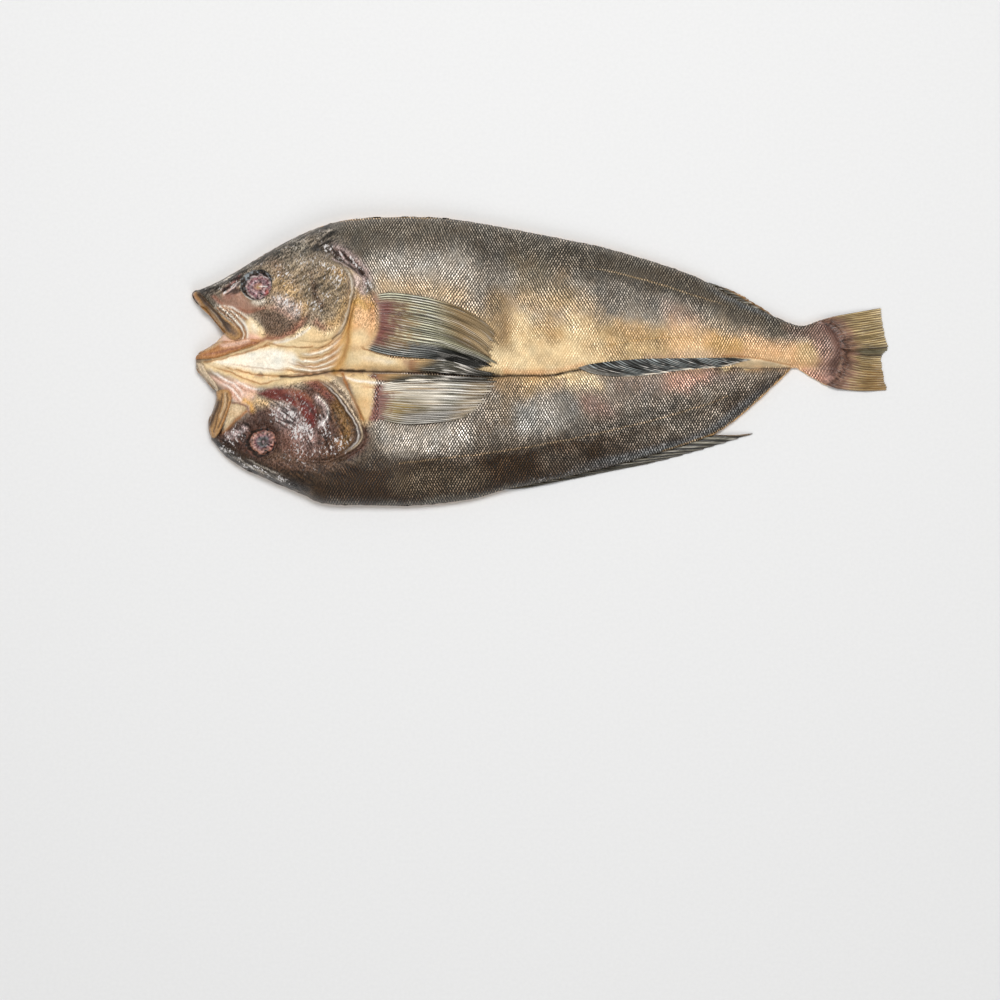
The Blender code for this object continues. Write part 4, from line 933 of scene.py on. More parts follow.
# How far soft noise moves what is painted, as (amount, size, seed).
WIDE_BLUR = (1.4, 7, 21)
CLOSE_BLUR = (0.8, 2.2, 23)
LINE_BLUR = (0.3, 3, 31)
HEAD_BLUR = (0.4, 2.2, 27)
PLATE_BLUR = (0.3, 2.2, 35)
SIDE_WANDER = ((0.04, 9, 25), (0.02, 2, 26))
MOTTLE = ((0.1, 4, 29), (0.08, 1.5, 30))
WARMTH = (5.0, 33)  # size and seed of the patches that are a little warmer or cooler
WARMER = (0.05, 0.0, -0.05)
WRINKLE_SHADE = 1.4
WRINKLE_GLINTS = 1.5
DEEPEST_SHADE = 0.25
BACK_END = 20  # points of the first back before it turns round the end of the flank


def side_share(x, y):
    """How far each place is from the seam, at 0, to the cut edge of its side, at 1 or -1."""
    seam = profile(SEAM_PATH, x)
    above = profile(BACK_FIRST[:BACK_END], x) - seam
    below = seam - profile(BACK_SECOND[::-1], x)
    return (y - seam) / np.maximum(np.where(y > seam, above, below), 2.0)


def across_tone(share, stops):
    places = [place for place, _ in stops]
    tones = np.array([PALETTE[name] for _, name in stops])
    return np.column_stack([np.interp(share, places, tones[:, channel]) for channel in range(3)])


def blurred(x, y, amount, size, seed):
    """Places moved about by soft noise, so that what is painted there gets uneven edges."""
    return x + amount * soft_noise(x, y, size, seed), y + amount * soft_noise(x, y, size, seed + 1)


def skin_paint(x, y):
    """Colour of the skin at each place, and its finish with how close the glints stand."""
    soft = blurred(*blurred(x, y, *WIDE_BLUR), *CLOSE_BLUR)
    share = side_share(*soft) + layers(SIDE_WANDER, x, y)
    first, second = across_tone(share, FIRST_ACROSS), across_tone(-share, SECOND_ACROSS)
    colour = np.where((share > 0)[:, None], first, second)
    colour = blended(colour, FLANKS, PALETTE, *soft)
    colour = blended(colour, LINES, PALETTE, *blurred(x, y, *LINE_BLUR))
    colour = blended(colour, HEADS, PALETTE, *blurred(x, y, *HEAD_BLUR))
    colour *= (1 + layers(MOTTLE, x, y))[:, None]
    colour *= 1 + np.outer(soft_noise(x, y, *WARMTH), WARMER)
    finish = np.tile(FINISHES["scaly"], (len(x), 1))
    finish = blended(finish, FINISH_MARKS, FINISHES, *soft)
    finish[:, 1] *= 0.5 + 0.5 * smoothstep(1, 8, distance_to(BODY_EDGE, x, y))
    # The wrinkles are also painted into the colour as light and shade.
    folds = wrinkles(x, y)
    colour *= np.maximum(1 + WRINKLE_SHADE * folds, DEEPEST_SHADE)[:, None]
    glints = raised(np.zeros(len(x)), GLINTS, *soft)
    glints = np.clip(glints * (1 + WRINKLE_GLINTS * folds), 0, 1)
    return np.clip(colour, *TONE_RANGE), np.column_stack((finish, glints))


# ---------------------------------------------------------------- shader nodes
def shader_node(tree, kind, values=None, **settings):
    """New shader node with its settings, and its inputs set or linked."""
    node = tree.nodes.new("ShaderNode" + kind)
    for key, value in settings.items():
        setattr(node, key, value)
    for place, value in (values or {}).items():
        if isinstance(value, bpy.types.NodeSocket):
            tree.links.new(value, node.inputs[place])
        else:
            node.inputs[place].default_value = value
    return node


def new_material(name, **values):
    """Material and its shader, with the values that are the same all over."""
    material = bpy.data.materials.new(name)
    material.use_nodes = True
    surface = material.node_tree.nodes["Principled BSDF"]
    for key, value in values.items():
        surface.inputs[key.replace("_", " ")].default_value = value
    return material, material.node_tree, surface


def maths(tree, operation, first, second=0.0, third=0.0):
    return shader_node(tree, "Math", {0: first, 1: second, 2: third}, operation=operation).outputs[0]


def vectors(tree, operation, values):
    return shader_node(tree, "VectorMath", values, operation=operation).outputs[0]


def colour_mix(tree, share, first, second):
    return shader_node(tree, "Mix", {0: share, 6: first, 7: second}, data_type="RGBA").outputs[2]


def object_place(tree):
    return shader_node(tree, "TexCoord").outputs["Object"]


def noise_node(tree, place, size, detail=2.0):
    """Noise with features about one size across, in millimetres."""
    values = {"Vector": place, "Scale": 1 / MM / size, "Detail": detail}
    return shader_node(tree, "TexNoise", values).outputs["Fac"]


def row_noise(tree, rows, scale, detail, distortion=0.0):
    """Noise in the coordinates that follow the scales or the rays of a fin."""
    values = {"Vector": rows, "Scale": scale, "Detail": detail, "Distortion": distortion}
    return shader_node(tree, "TexNoise", values).outputs["Fac"]


def painted_attribute(tree, name):
    return shader_node(tree, "Attribute", attribute_name=name)


def ranged(tree, value, low, high, new_low=0.0, new_high=1.0):
    values = {"Value": value, "From Min": low, "From Max": high, "To Min": new_low, "To Max": new_high}
    return shader_node(tree, "MapRange", values).outputs[0]


# ---------------------------------------------------------------- skin material
SCALE_CONTRAST = 2.5
SCALE_MEAN = 0.42  # mean brightness of the scale pattern, which the contrast turns about
SCALE_VARIETY = (0.8, 0.6)  # spread and least of the brightness of single scales
ROW_SHARE = 0.42  # how much of the pattern is in rows
PAIR_SHARE = 0.85  # and how much in single scales
ROW_WANDER = (2.6, 1.5)  # size and amount of the shift of rows
LEAN_SIZE = 26.0  # size of the areas that are drawn out along the same row
CONTRAST_SIZE = 9.0
CONTRAST_RANGE = (0.45, 1.45)
SPECK_STRETCH = (1.25, 1.9, 1.4)
SPECK_NOISE = (1.0, 2.0, 0.6)  # scale, detail and distortion
SPECK_CONTRAST = (1.35, -0.64)
LEAST_LIGHT = 0.16
# The bright parts of scales and specks are painted highlights.
SHEEN_GREY = 0.36  # how far the bright parts of scales and specks turn grey
GLINT_WHITE = (0.8, 0.76, 0.74, 1.0)
GLINT_NOISE = (0.62, 3.5, 0.9)
GLINT_SPREAD = 0.24  # how much more of the noise counts where the glints are painted
GLINT_EDGE = (0.68, 0.74)
GLINT_COVER = 0.85
DRY_ROUGHNESS = 0.52
WET_GLOSS = 0.34
GRAIN_SIZE = 0.7
GRAIN_ROUGHNESS = 0.06
# Shares of the bump that specks, grain and glints have beside the scales.
SPECK_SHARE = 0.6
GRAIN_SHARE = 0.3
GLINT_SHARE = 0.8
SCALE_BUMP = 0.3
LUMP_BUMP = 1.5
LUMP_SIZE = 2.2
BUMP_STRENGTH = 0.8


def scale_pattern(tree, place):
    """Brightness of the scales: crossing rows, in places drawn out along one, no two scales quite alike."""
    rows = painted_attribute(tree, "scale_row").outputs["Vector"]
    turns = vectors(tree, "SCALE", {0: rows, "Scale": 2 * math.pi})
    turns = shader_node(tree, "SeparateXYZ", {0: turns}).outputs
    size, amount = ROW_WANDER
    wander = ranged(tree, noise_node(tree, place, size), 0.2, 0.8, -amount, amount)
    one = maths(tree, "COSINE", maths(tree, "ADD", turns[0], wander))
    two = maths(tree, "COSINE", maths(tree, "SUBTRACT", turns[1], wander))
    one = maths(tree, "MULTIPLY_ADD", one, 0.5, 0.5)
    two = maths(tree, "MULTIPLY_ADD", two, 0.5, 0.5)
    pair = maths(tree, "MULTIPLY", one, two)
    lean = ranged(tree, noise_node(tree, place, LEAN_SIZE), 0.42, 0.58)
    row = maths(tree, "MULTIPLY_ADD", maths(tree, "SUBTRACT", one, two), lean, two)
    scale = maths(tree, "MULTIPLY_ADD", row, ROW_SHARE, maths(tree, "MULTIPLY", pair, PAIR_SHARE))
    centre = vectors(tree, "MULTIPLY_ADD", {0: rows, 1: (1.0, 1.0, 0.0), 2: (0.5, 0.5, 0.5)})
    centre = vectors(tree, "FLOOR", {0: centre})
    own = shader_node(tree, "TexWhiteNoise", {"Vector": centre}).outputs["Value"]
    return maths(tree, "MULTIPLY", scale, maths(tree, "MULTIPLY_ADD", own, *SCALE_VARIETY))


def skin_light(tree, place, scale, scales, speck, specks):
    """Brightness of scales and specks about 1."""
    contrast = ranged(tree, noise_node(tree, place, CONTRAST_SIZE, 3.0), 0.34, 0.66, *CONTRAST_RANGE)
    light = maths(tree, "MULTIPLY_ADD", scale, SCALE_CONTRAST, -SCALE_CONTRAST * SCALE_MEAN)
    light = maths(tree, "MULTIPLY", maths(tree, "MULTIPLY", light, scales), contrast)
    speckle = maths(tree, "MULTIPLY_ADD", speck, *SPECK_CONTRAST)
    light = maths(tree, "MULTIPLY_ADD", speckle, specks, light)
    return maths(tree, "MAXIMUM", maths(tree, "ADD", light, 1.0), LEAST_LIGHT)


def lit_tone(tree, light):
    """Painted tone under that brightness; where it is brighter than plain skin, the extra is a greyer
    painted sheen.
    """
    tone = painted_attribute(tree, "tone").outputs["Color"]
    grey = shader_node(tree, "RGBToBW", {"Color": tone}).outputs[0]
    grey = shader_node(tree, "CombineXYZ", {0: grey, 1: grey, 2: grey}).outputs[0]
    sheen = colour_mix(tree, SHEEN_GREY, tone, grey)
    dull = maths(tree, "MINIMUM", light, 1.0)
    bright = maths(tree, "SUBTRACT", light, dull)
    colour = vectors(tree, "SCALE", {0: tone, "Scale": dull})
    sheen = vectors(tree, "SCALE", {0: sheen, "Scale": bright})
    return vectors(tree, "ADD", {0: colour, 1: sheen})


def skin_bump(tree, place, height, wet):
    """Fine bump of the skin, and lumps where it is wet."""
    values = {"Height": height, "Distance": SCALE_BUMP * MM, "Strength": BUMP_STRENGTH}
    bump = shader_node(tree, "Bump", values).outputs[0]
    lumps = maths(tree, "MULTIPLY", noise_node(tree, place, LUMP_SIZE), maths(tree, "POWER", wet, 2.0))
    values = {"Height": lumps, "Distance": LUMP_BUMP * MM, "Strength": BUMP_STRENGTH, "Normal": bump}
    return shader_node(tree, "Bump", values).outputs[0]


def skin_material(name):
    """Painted skin with rows of scales, specks, glints and a gloss that follows its wetness."""
    material, tree, surface = new_material(name, IOR=1.34)
    place = object_place(tree)
    painted = painted_attribute(tree, "finish").outputs
    finish = shader_node(tree, "SeparateXYZ", {0: painted["Vector"]}).outputs
    scales, specks, wet, glints = finish[0], finish[1], finish[2], painted["Alpha"]
    scale = scale_pattern(tree, place)
    rows = painted_attribute(tree, "scale_row").outputs["Vector"]
    rows = vectors(tree, "MULTIPLY", {0: rows, 1: SPECK_STRETCH})
    speck = ranged(tree, row_noise(tree, rows, *SPECK_NOISE), 0.42, 0.58)
    colour = lit_tone(tree, skin_light(tree, place, scale, scales, speck, specks))
    sparkle = maths(tree, "MULTIPLY_ADD", glints, GLINT_SPREAD, row_noise(tree, rows, *GLINT_NOISE))
    glint = ranged(tree, sparkle, *GLINT_EDGE)
    cover = maths(tree, "MULTIPLY", glint, ranged(tree, glints, 0.0, 0.5, 0.0, GLINT_COVER))
    # The glints are painted into the base colour in pale grey.
    tree.links.new(colour_mix(tree, cover, colour, GLINT_WHITE), surface.inputs["Base Color"])
    grain = noise_node(tree, place, GRAIN_SIZE, 3.0)
    rough = maths(tree, "MULTIPLY_ADD", wet, -WET_GLOSS, DRY_ROUGHNESS)
    rough = maths(tree, "ADD", rough, ranged(tree, grain, 0.3, 0.7, -GRAIN_ROUGHNESS, GRAIN_ROUGHNESS))
    tree.links.new(rough, surface.inputs["Roughness"])
    height = maths(tree, "MULTIPLY", scale, scales)
    height = maths(tree, "MULTIPLY_ADD", speck, maths(tree, "MULTIPLY", specks, SPECK_SHARE), height)
    height = maths(tree, "MULTIPLY_ADD", grain, GRAIN_SHARE, height)
    height = maths(tree, "ADD", height, maths(tree, "MULTIPLY", cover, GLINT_SHARE))
    tree.links.new(skin_bump(tree, place, height, wet), surface.inputs["Normal"])
    return material


# ---------------------------------------------------------------- other materials
def streaked_material(name, streak_of, light_range, rough_range, distance, **values):
    """Painted material whose brightness, gloss and bump follow one fine pattern."""
    material, tree, surface = new_material(name, **values)
    streak = streak_of(tree)
    tone = painted_attribute(tree, "tone").outputs["Color"]
    light = ranged(tree, streak, 0.3, 0.7, *light_range)
    tree.links.new(vectors(tree, "SCALE", {0: tone, "Scale": light}), surface.inputs["Base Color"])
    tree.links.new(ranged(tree, streak, 0.3, 0.7, *rough_range), surface.inputs["Roughness"])
    bump = shader_node(tree, "Bump", {"Height": streak, "Distance": distance * MM, "Strength": 0.7})
    tree.links.new(bump.outputs[0], surface.inputs["Normal"])
    return material


def ray_streaks(tree):
    rays = painted_attribute(tree, "scale_row").outputs["Vector"]
    return row_noise(tree, rays, scale=1.3, detail=3.0)


def flakes(tree):
    return noise_node(tree, object_place(tree), size=1.2, detail=3.0)


def clouds(tree):
    return noise_node(tree, object_place(tree), size=1.6, detail=4.0)


# ---------------------------------------------------------------- meshes
SHARP_ANGLE = math.radians(62)
WELD = 0.002
WALL_FINISH = (0, 1, 1, 1)  # the walls below the skin have no scales


def new_piece(name, points, faces, tone, finish, rows, material):
    """Piece of the fish from points in millimetres, with its painted values at every point."""
    mesh = bpy.data.meshes.new(name)
    mesh.from_pydata(np.asarray(points) * MM, [], faces)
    tone = np.column_stack((tone, np.ones(len(points))))
    for key, values in (("tone", tone), ("finish", finish)):
        mesh.attributes.new(key, "FLOAT_COLOR", "POINT").data.foreach_set("color", values.ravel())
    mesh.attributes.new("scale_row", "FLOAT_VECTOR", "POINT").data.foreach_set("vector", rows.ravel())
    mesh.materials.append(material)
    mesh.shade_smooth()
    mesh.set_sharp_from_angle(angle=SHARP_ANGLE)
    piece = bpy.data.objects.new(name, mesh)
    bpy.context.scene.collection.objects.link(piece)
    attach(piece, BODY)
    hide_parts(SOLID)


def fine_faces(outline, places):
    """Triangles over an outline and the places in it, and the numbers of the corners round its border."""
    rim = len(outline)
    flat = [Vector(place) for place in np.vstack((outline, places))]
    ring = [(number, (number + 1) % rim) for number in range(rim)]
    points, _, faces, *_ = delaunay_2d_cdt(flat, ring, [], 1, WELD)
    sides = {(a, b) for face in faces for a, b in zip(face, face[1:] + face[:1])}
    border = {a: b for a, b in sides if (b, a) not in sides}
    order = [min(border)]
    while border[order[-1]] != order[0]:
        order.append(border[order[-1]])
    return np.array(points), faces, order


def relief_piece(name, outline, places, top, floor, paint, wall_tone, material, downward=False):
    """Closed piece: a fine face given by a height function, walls, and one plain face at the floor."""
    points, faces, order = fine_faces(outline, places)
    x, y = points.T
    low = {corner: len(points) + number for number, corner in enumerate(order)}
    walls = [(b, a, low[a], low[b]) for a, b in zip(order, order[1:] + order[:1])]
    faces = [*faces, *walls, tuple(low[corner] for corner in reversed(order))]
    if downward:
        faces = [tuple(reversed(face)) for face in faces]
    tone, finish = paint(x, y)
    wall = np.tile(PALETTE[wall_tone], (len(order), 1))
    upper = np.column_stack((x, y, top(x, y)))
    lower = np.column_stack((x[order], y[order], np.full(len(order), floor)))
    rows = np.column_stack((*scale_rows(x, y), upper[:, 2] / SCALE_PITCH))
    low_rows = np.column_stack((rows[order, :2], lower[:, 2] / SCALE_PITCH))
    new_piece(
        name, np.vstack((upper, lower)), faces, np.vstack((tone, wall)),
        np.vstack((finish, finish[order] * WALL_FINISH)), np.vstack((rows, low_rows)), material,
    )


# ---------------------------------------------------------------- skin and flesh
SKIN_STEP = 0.8
SKIN_FLOOR = 1.2
HEAD_SPACING = 0.42
SKIN_MARGIN = 0.2
SCALE_STAND = 0.16
FLANK_START = (-112, -96)  # where the scales begin to stand out behind the head
RAGGED_EDGE = 0.22
RAGS = ((1.0, 2.2, 44), (0.7, 7, 45))


def scaly_height(x, y):
    """Skin height with each scale standing a little proud on the flanks."""
    flank = smoothstep(*FLANK_START, x) * smoothstep(0.5, 3.0, distance_to(BODY_EDGE, x, y))
    return skin_height(x, y) + SCALE_STAND * flank * scale_bump(x, y)


def cut_edge(points):
    """Cut edge of the back, a little ragged."""
    path = smooth_path(points, SKIN_STEP)
    return path - RAGGED_EDGE * layers(RAGS, *path.T)[:, None] * (0, 1)


def nearest(path, place):
    return int(np.hypot(*(path - place).T).argmin())


def skins(material):
    """The skin of both sides, in a piece for the head and one for the flank of each."""
    seam = smooth_path(SEAM, SKIN_STEP)
    seam[0] = FIRST_CHIN[0]
    for side, back, neck_points, mouth in (
        ("first", cut_edge(BACK_FIRST), FIRST_NECK, (FIRST_CHIN, FIRST_UPPER_JAW)),
        ("second", cut_edge(BACK_SECOND[::-1]), SECOND_NECK, (SECOND_MOUTH[::-1],)),
    ):
        top, low = nearest(back, neck_points[0]), nearest(seam, neck_points[-1])
        neck = smooth_path((tuple(back[top]), *neck_points[1:-1], tuple(seam[low])), SKIN_STEP)
        lips = [smooth_path(run, SKIN_STEP)[:-1] for run in mouth]
        head = np.vstack((back[:top], neck[:-1], seam[low:0:-1], *lips))
        flank = np.vstack((back[top:], seam[-2:low:-1], neck[:0:-1]))
        for part, outline, spacing in (("_head", head, HEAD_SPACING), ("_flank", flank, SCALE_PITCH / 3)):
            places = scale_lattice(outline, spacing, SKIN_MARGIN)
            relief_piece(
                side + part, outline, places, scaly_height, SKIN_FLOOR, skin_paint, "flesh", material,
            )


FLESH_STEP = 1.6
FLESH_SPACING = 2.4
FLESH_TOP = 2.0
FLESH_STAND = 0.3  # how far the cut flesh stands out from under the skin of the rear edges
FLESH_INSET = 0.5  # and how far it lies inside the skin elsewhere
RIB_PITCH = 9.0
RIB_HEIGHT = 0.5
UNDERSIDE = 0.02


def underside(x, y):
    """Nearly flat underside with low ribs."""
    ribs = 0.5 + 0.5 * np.sin((x + 0.5 * np.abs(y + 5)) * 2 * math.pi / RIB_PITCH)
    return UNDERSIDE + RIB_HEIGHT * ribs * smoothstep(0.0, 6.0, distance_to(BODY_EDGE, x, y))


def flesh_paint(x, y):
    mottle = 1 + 0.15 * soft_noise(x, y, 3.0, 42)
    return PALETTE["flesh"] * mottle[:, None], np.zeros((len(x), 4))


def flesh(material):
    """The cut flesh under the skin. Its edge shows as a thin pale rim behind the head and by the tail."""
    outline = closed_outline(BODY_RUNS, FLESH_STEP)
    run = np.roll(outline, -1, axis=0) - np.roll(outline, 1, axis=0)
    normal = np.column_stack((-run[:, 1], run[:, 0])) / np.linalg.norm(run, axis=1)[:, None]
    x, y = outline.T
    # Flesh shows by the tail on the second side, and behind the head on the first.
    bare = smoothstep(70, 96, x) * (y < -4) + 0.6 * smoothstep(0, 20, 60 - np.abs(x + 90)) * (y > 60)
    stand = (FLESH_STAND + FLESH_INSET) * bare * (1 + 0.4 * soft_noise(x, y, 3.0, 41)) - FLESH_INSET
    outline = outline + normal * stand[:, None]
    places = scale_lattice(outline, FLESH_SPACING, 1.0)
    relief_piece(
        "flesh", outline, places, underside, FLESH_TOP, flesh_paint, "flesh", material, downward=True,
    )


# ---------------------------------------------------------------- gill covers and jaws
PLATE_SPACING = 0.42
PLATE_FLOOR = 1.5  # how far the plates reach down below the lowest skin at their outline
LOWEST_FLOOR = 0.6
PLATE_GLINTS = 0.05
RIM_RISE = 1.2  # rise of the thin skin at the rim of a gill cover
RIM_ROUND = 1.0
BONE_RISE = GILL_COVER_STAND - 0.9
BONE_ROUND = 1.8
JAW_EDGE = 0.35  # share of its height that a jaw has at its very edge
CHANNEL_DEPTH = 0.7
CHANNEL_SIDE = (1.2, 2.6)
# Each gill cover with the bone in its skin and its marks of colour.
GILL_COVERS = (
    ("first_gill_cover", FIRST_GILL_COVER, FIRST_BONE, (
        (patch, "membrane", 0.8, 0.6,
         ((-114.6, 56), (-106, 50.6), (-101.5, 46), (-102.6, 43), (-107.6, 32), (-112, 18), (-120, 9.6),
          (-118, 12), (-111.6, 24), (-108, 34), (-106.6, 42), (-107.6, 48))),
        (patch, "lavender", 0.7, 1.2, ((-107, 50.4), (-101.6, 46), (-104.8, 41), (-106.6, 44))),
        # Painted highlight on the raised rim, and painted shadow just outside it.
        (tapered, "pale", 0.75, 0.5, shifted(FIRST_RIM, -0.4, -0.2)),
        (stroke, "jaw_dark", 0.8, 0.45, shifted(FIRST_RIM, 0.9, 0)),
        (tapered, "cheek_dark", 0.5, 0.7, shifted(FIRST_RIM, -2, -0.4)),
    )),
    ("second_gill_cover", SECOND_GILL_COVER, SECOND_BONE, (
        (tapered, "dark", 0.7, 0.6, shifted(SECOND_RIM, -1.5, 0.2)),
        # Painted highlight on the raised rim, and painted shadow just outside it.
        (tapered, "white", 0.85, 0.38, shifted(SECOND_RIM, -0.3, 0)),
        (tapered, "dark", 0.8, 0.4, shifted(SECOND_RIM, 0.8, 0)),
        (tapered, "rim", 0.9, 0.5, shifted(SECOND_RIM, 1.8, 0.2)),
    )),
)
# Each jaw with the spacing of its mesh, the tone of its walls and its marks of colour.
JAWS = (
    ("first_maxilla", FIRST_MAXILLA, 0.35, "jaw_gold", (
        (patch, "jaw_gold", 1, 0.6, FIRST_MAXILLA),
        (stroke, "jaw_dark", 0.95, 1.5, ((-196, 38.6), (-190, 31.4), (-183.4, 24.2), (-178, 18.6))),
        (stroke, "dark", 0.8, 0.6, ((-195, 38.4), (-189, 31.6), (-182.4, 24.4), (-177.6, 20))),
        (stroke, "bulb", 0.9, 2, ((-178.5, 18.4), (-175.2, 15.6))),
        (tapered, "dark", 0.6, 0.8, ((-184, 24), (-179.6, 18.8), (-176.6, 15.6))),
        (tapered, "rim", 0.7, 0.5, ((-187.9, 31.6), (-181, 25.6), (-175, 20.6), (-172.4, 16.6))),
        (tapered, "rim", 0.5, 0.4, ((-192, 33), (-184.6, 24.4), (-180.8, 17.6))),
        (stroke, "orange_brown", 0.8, 1.2, ((-199.6, 38.6), (-197, 35))),
        (stroke, "dark", 0.8, 0.6, ((-199, 40.4), (-195, 39.4), (-190.5, 34.6))),
    )),
    ("second_maxilla", SECOND_MAXILLA, 0.35, "jaw_gold", (
        (patch, "jaw_gold", 1, 0.6, SECOND_MAXILLA),
        (stroke, "jaw_dark", 0.95, 1.6, ((-184.2, -23.5), (-187, -30.5), (-189.3, -36.6))),
        (stroke, "jaw_dark", 0.8, 0.5, ((-182.3, -18.8), (-182.6, -24.8), (-184.6, -30.8), (-187, -40.8))),
        (stroke, "rim", 0.6, 0.6, ((-180.6, -18.4), (-180.6, -24.4), (-183.2, -32))),
        (stroke, "jaw_dark", 0.7, 0.5, ((-179.4, -18.6), (-179, -23), (-180.4, -29), (-184.4, -38))),
        (stroke, "rust", 0.7, 0.5, ((-178, -17.2), (-177, -21), (-178.4, -27), (-183, -38.6))),
    )),
    ("first_lower_jaw", FIRST_LOWER_JAW, 0.38, "orange_brown", (
        (patch, "orange_brown", 0.9, 0.8, FIRST_LOWER_JAW),
        (stroke, "mouth_pink", 0.85, 1.3, ((-182.6, 8.9), (-175, 9.6), (-167, 11.4))),
        (stroke, "red_brown", 0.8, 0.8, ((-193, 3.6), (-182.4, 5.4), (-172.8, 7.6), (-163, 10.4))),
        (stroke, "rust", 0.8, 0.6, ((-197, 1.8), (-186, 2.2), (-175, 5.6), (-165, 9.2))),
        (tapered, "rust", 0.6, 0.6, ((-197.6, 3), (-191, 7.2), (-184, 10.6))),
        (stroke, "rust", 0.6, 1.8, ((-198, 3), (-192, 5.2), (-184, 8))),
        (tapered, "membrane", 0.6, 0.8, ((-194, 5.6), (-186, 9.2), (-180, 13))),
    )),
    ("second_lower_jaw", SECOND_LOWER_JAW, 0.35, "rim", (
        (patch, "rim", 0.9, 0.8, SECOND_LOWER_JAW),
        (tapered, "orange_brown", 0.8, 0.8, ((-197.6, -3), (-196, -7), (-192, -12), (-187, -17.4))),
        (stroke, "cheek_dark", 0.6, 0.4, ((-197, -2), (-195.4, -6), (-191.6, -10.2), (-186.6, -15.6))),
    )),
)


def rounded(depth, radius):
    """0 at an edge and 1 from one radius inward, round between."""
    return np.sqrt(1 - (1 - np.clip(depth / radius, 0, 1)) ** 2)


def cover_rise(bone):
    """Rise of a gill cover: none at its hinge, a thin skin at its rim and a thicker bone inside that."""
    edge = smooth_path(bone + bone[:1], 1.5)
    hinge = GILL_COVER_HINGE[0]

    def rise(x, y, depth):
        in_bone = distance_to(edge, x, y) * inside(edge[:-1], x, y)
        height = RIM_RISE * rounded(depth, RIM_ROUND) + BONE_RISE * rounded(in_bone, BONE_ROUND)
        height = height * smoothstep(*GILL_COVER_HINGE, x)
        return height - HIDDEN_DEPTH * (1 - smoothstep(hinge - 4, hinge + 6, x))

    return rise


def jaw_rise(x, y, depth):
    """Rise of a jaw bone: a rounded bar with a shallow channel along its middle."""
    bar = JAW_STAND * (JAW_EDGE + (1 - JAW_EDGE) * rounded(depth, BONE_ROUND))
    return bar - CHANNEL_DEPTH * smoothstep(*CHANNEL_SIDE, depth)


# Unless another tone is given, a plate's walls are dark: painted shade in the gap under its edge.
def plate(name, outline_points, rise, marks, material, spacing=PLATE_SPACING, wall_tone="dark",
          finish_name=None):
    """Bony plate that rises out of the head, painted like the skin and then with its own marks."""
    outline = smooth_path(outline_points + outline_points[:1], spacing)[:-1]
    places = scale_lattice(outline, spacing, 0.5 * spacing)

    def top(x, y):
        return skin_height(x, y) + rise(x, y, distance_to(loop(outline), x, y))

    def paint(x, y):
        colour, finish = skin_paint(x, y)
        if finish_name:
            finish[:] = (*FINISHES[finish_name], PLATE_GLINTS)
        return blended(colour, marks, PALETTE, *blurred(x, y, *PLATE_BLUR)), finish

    floor = max(LOWEST_FLOOR, float(body_height(*outline.T).min()) - PLATE_FLOOR)
    relief_piece(name, outline, places, top, floor, paint, wall_tone, material)


def bones(material):
    """Gill covers and jaws of both sides of the head."""
    for name, outline, bone, marks in GILL_COVERS:
        plate(name, outline, cover_rise(bone), marks, material)
    for name, outline, spacing, tone, marks in JAWS:
        plate(name, outline, jaw_rise, marks, material, spacing, tone, "damp")


# ---------------------------------------------------------------- eyes
EYE_CIRCLES = 60
EYE_TURNS = 120
EYE_FOOT = 2.4  # how far below the skin the foot of the eyeball lies
EYE_CAP = 0.02  # share of the radius where the first circle of points lies
BALL_END = (0.95, 1.3)  # shares of the radius over which the ball passes into its socket
LID_RISE = (0.95, 1.25)
EYE_WRINKLES = ((0.5, 1.8, 51), (0.35, 0.9, 52))
EYE_RINGS = (
    # share of the eye's radius, height, tones of the two eyes
    (0, 0.6, "tan", "slate"),
    (0.1, 0.65, "snout", "eye_grey"),
    (0.2, 0.8, "snout", "dark"),
    (0.36, 1.1, "eye_wine", "slate"),
    (0.55, 1.5, "eye_grey", "eye_wine"),
    (0.7, 1.7, "eye_wine", "rose"),
    (0.84, 1.5, "eye_wine", "rose"),
    (0.9, 1.2, "blue_grey", "red_brown"),
    (0.97, 0.6, "eye_grey", "purple"),
    # The dark rings that follow lie in the socket round the ball and are painted shade.
    (1.02, 0, "dark", "dark"),
    (1.09, -0.4, "dark", "dark"),
    (1.17, -0.2, "dark_snout", "dark"),
    (1.23, 0.2, "dark", "purple"),
    (1.3, 0.4, "slate", "purple"),
    (1.38, -0.5, "cheek", "purple"),
)
# Column of the tones above, how far the ball lies off the middle of its socket, and its shine.
EYE_LOOKS = ((2, (1.6, -1.7), 0.8), (3, (1.3, 0.3), 0.0))


def eye_surface(centre, shift):
    """Points of the shrunken ball and its socket, with their share of the radius and their direction."""
    radii = np.linspace(EYE_CAP, EYE_RINGS[-1][0], EYE_CIRCLES)
    turns = np.linspace(0, 2 * math.pi, EYE_TURNS, endpoint=False)
    radius, around = (grid.ravel() for grid in np.meshgrid(radii, turns, indexing="ij"))
    radius, around = np.append(radius, 1.0), np.append(around, 0.0)
    oval = 1 + 0.05 * np.sin(2 * around + 0.6) + 0.03 * np.sin(3 * around)
    size = EYE_RADIUS * radius * np.interp(radius, (0, 0.98, 1.4), (0.97, 0.97, 0.9))
    off = 1 - smoothstep(*BALL_END, radius)
    x = centre[0] + shift[0] * off + size * oval * np.cos(around)
    y = centre[1] + shift[1] * off + size * oval * np.sin(around)
    ground = body_height(*np.array(centre, float)[:, None])[0]
    skin = skin_height(x, y)
    base = ground + smoothstep(*LID_RISE, radius) * (skin - ground)
    rise = profile([ring[:2] for ring in EYE_RINGS], radius)
    z = base + rise + layers(EYE_WRINKLES, x, y) * smoothstep(1.4, 1.25, radius)
    z = np.maximum(z, skin + 0.3 - 0.8 * smoothstep(1.28, 1.36, radius))
    x[-1], y[-1], z[-1] = *centre, ground - EYE_FOOT
    return x, y, z, radius, around


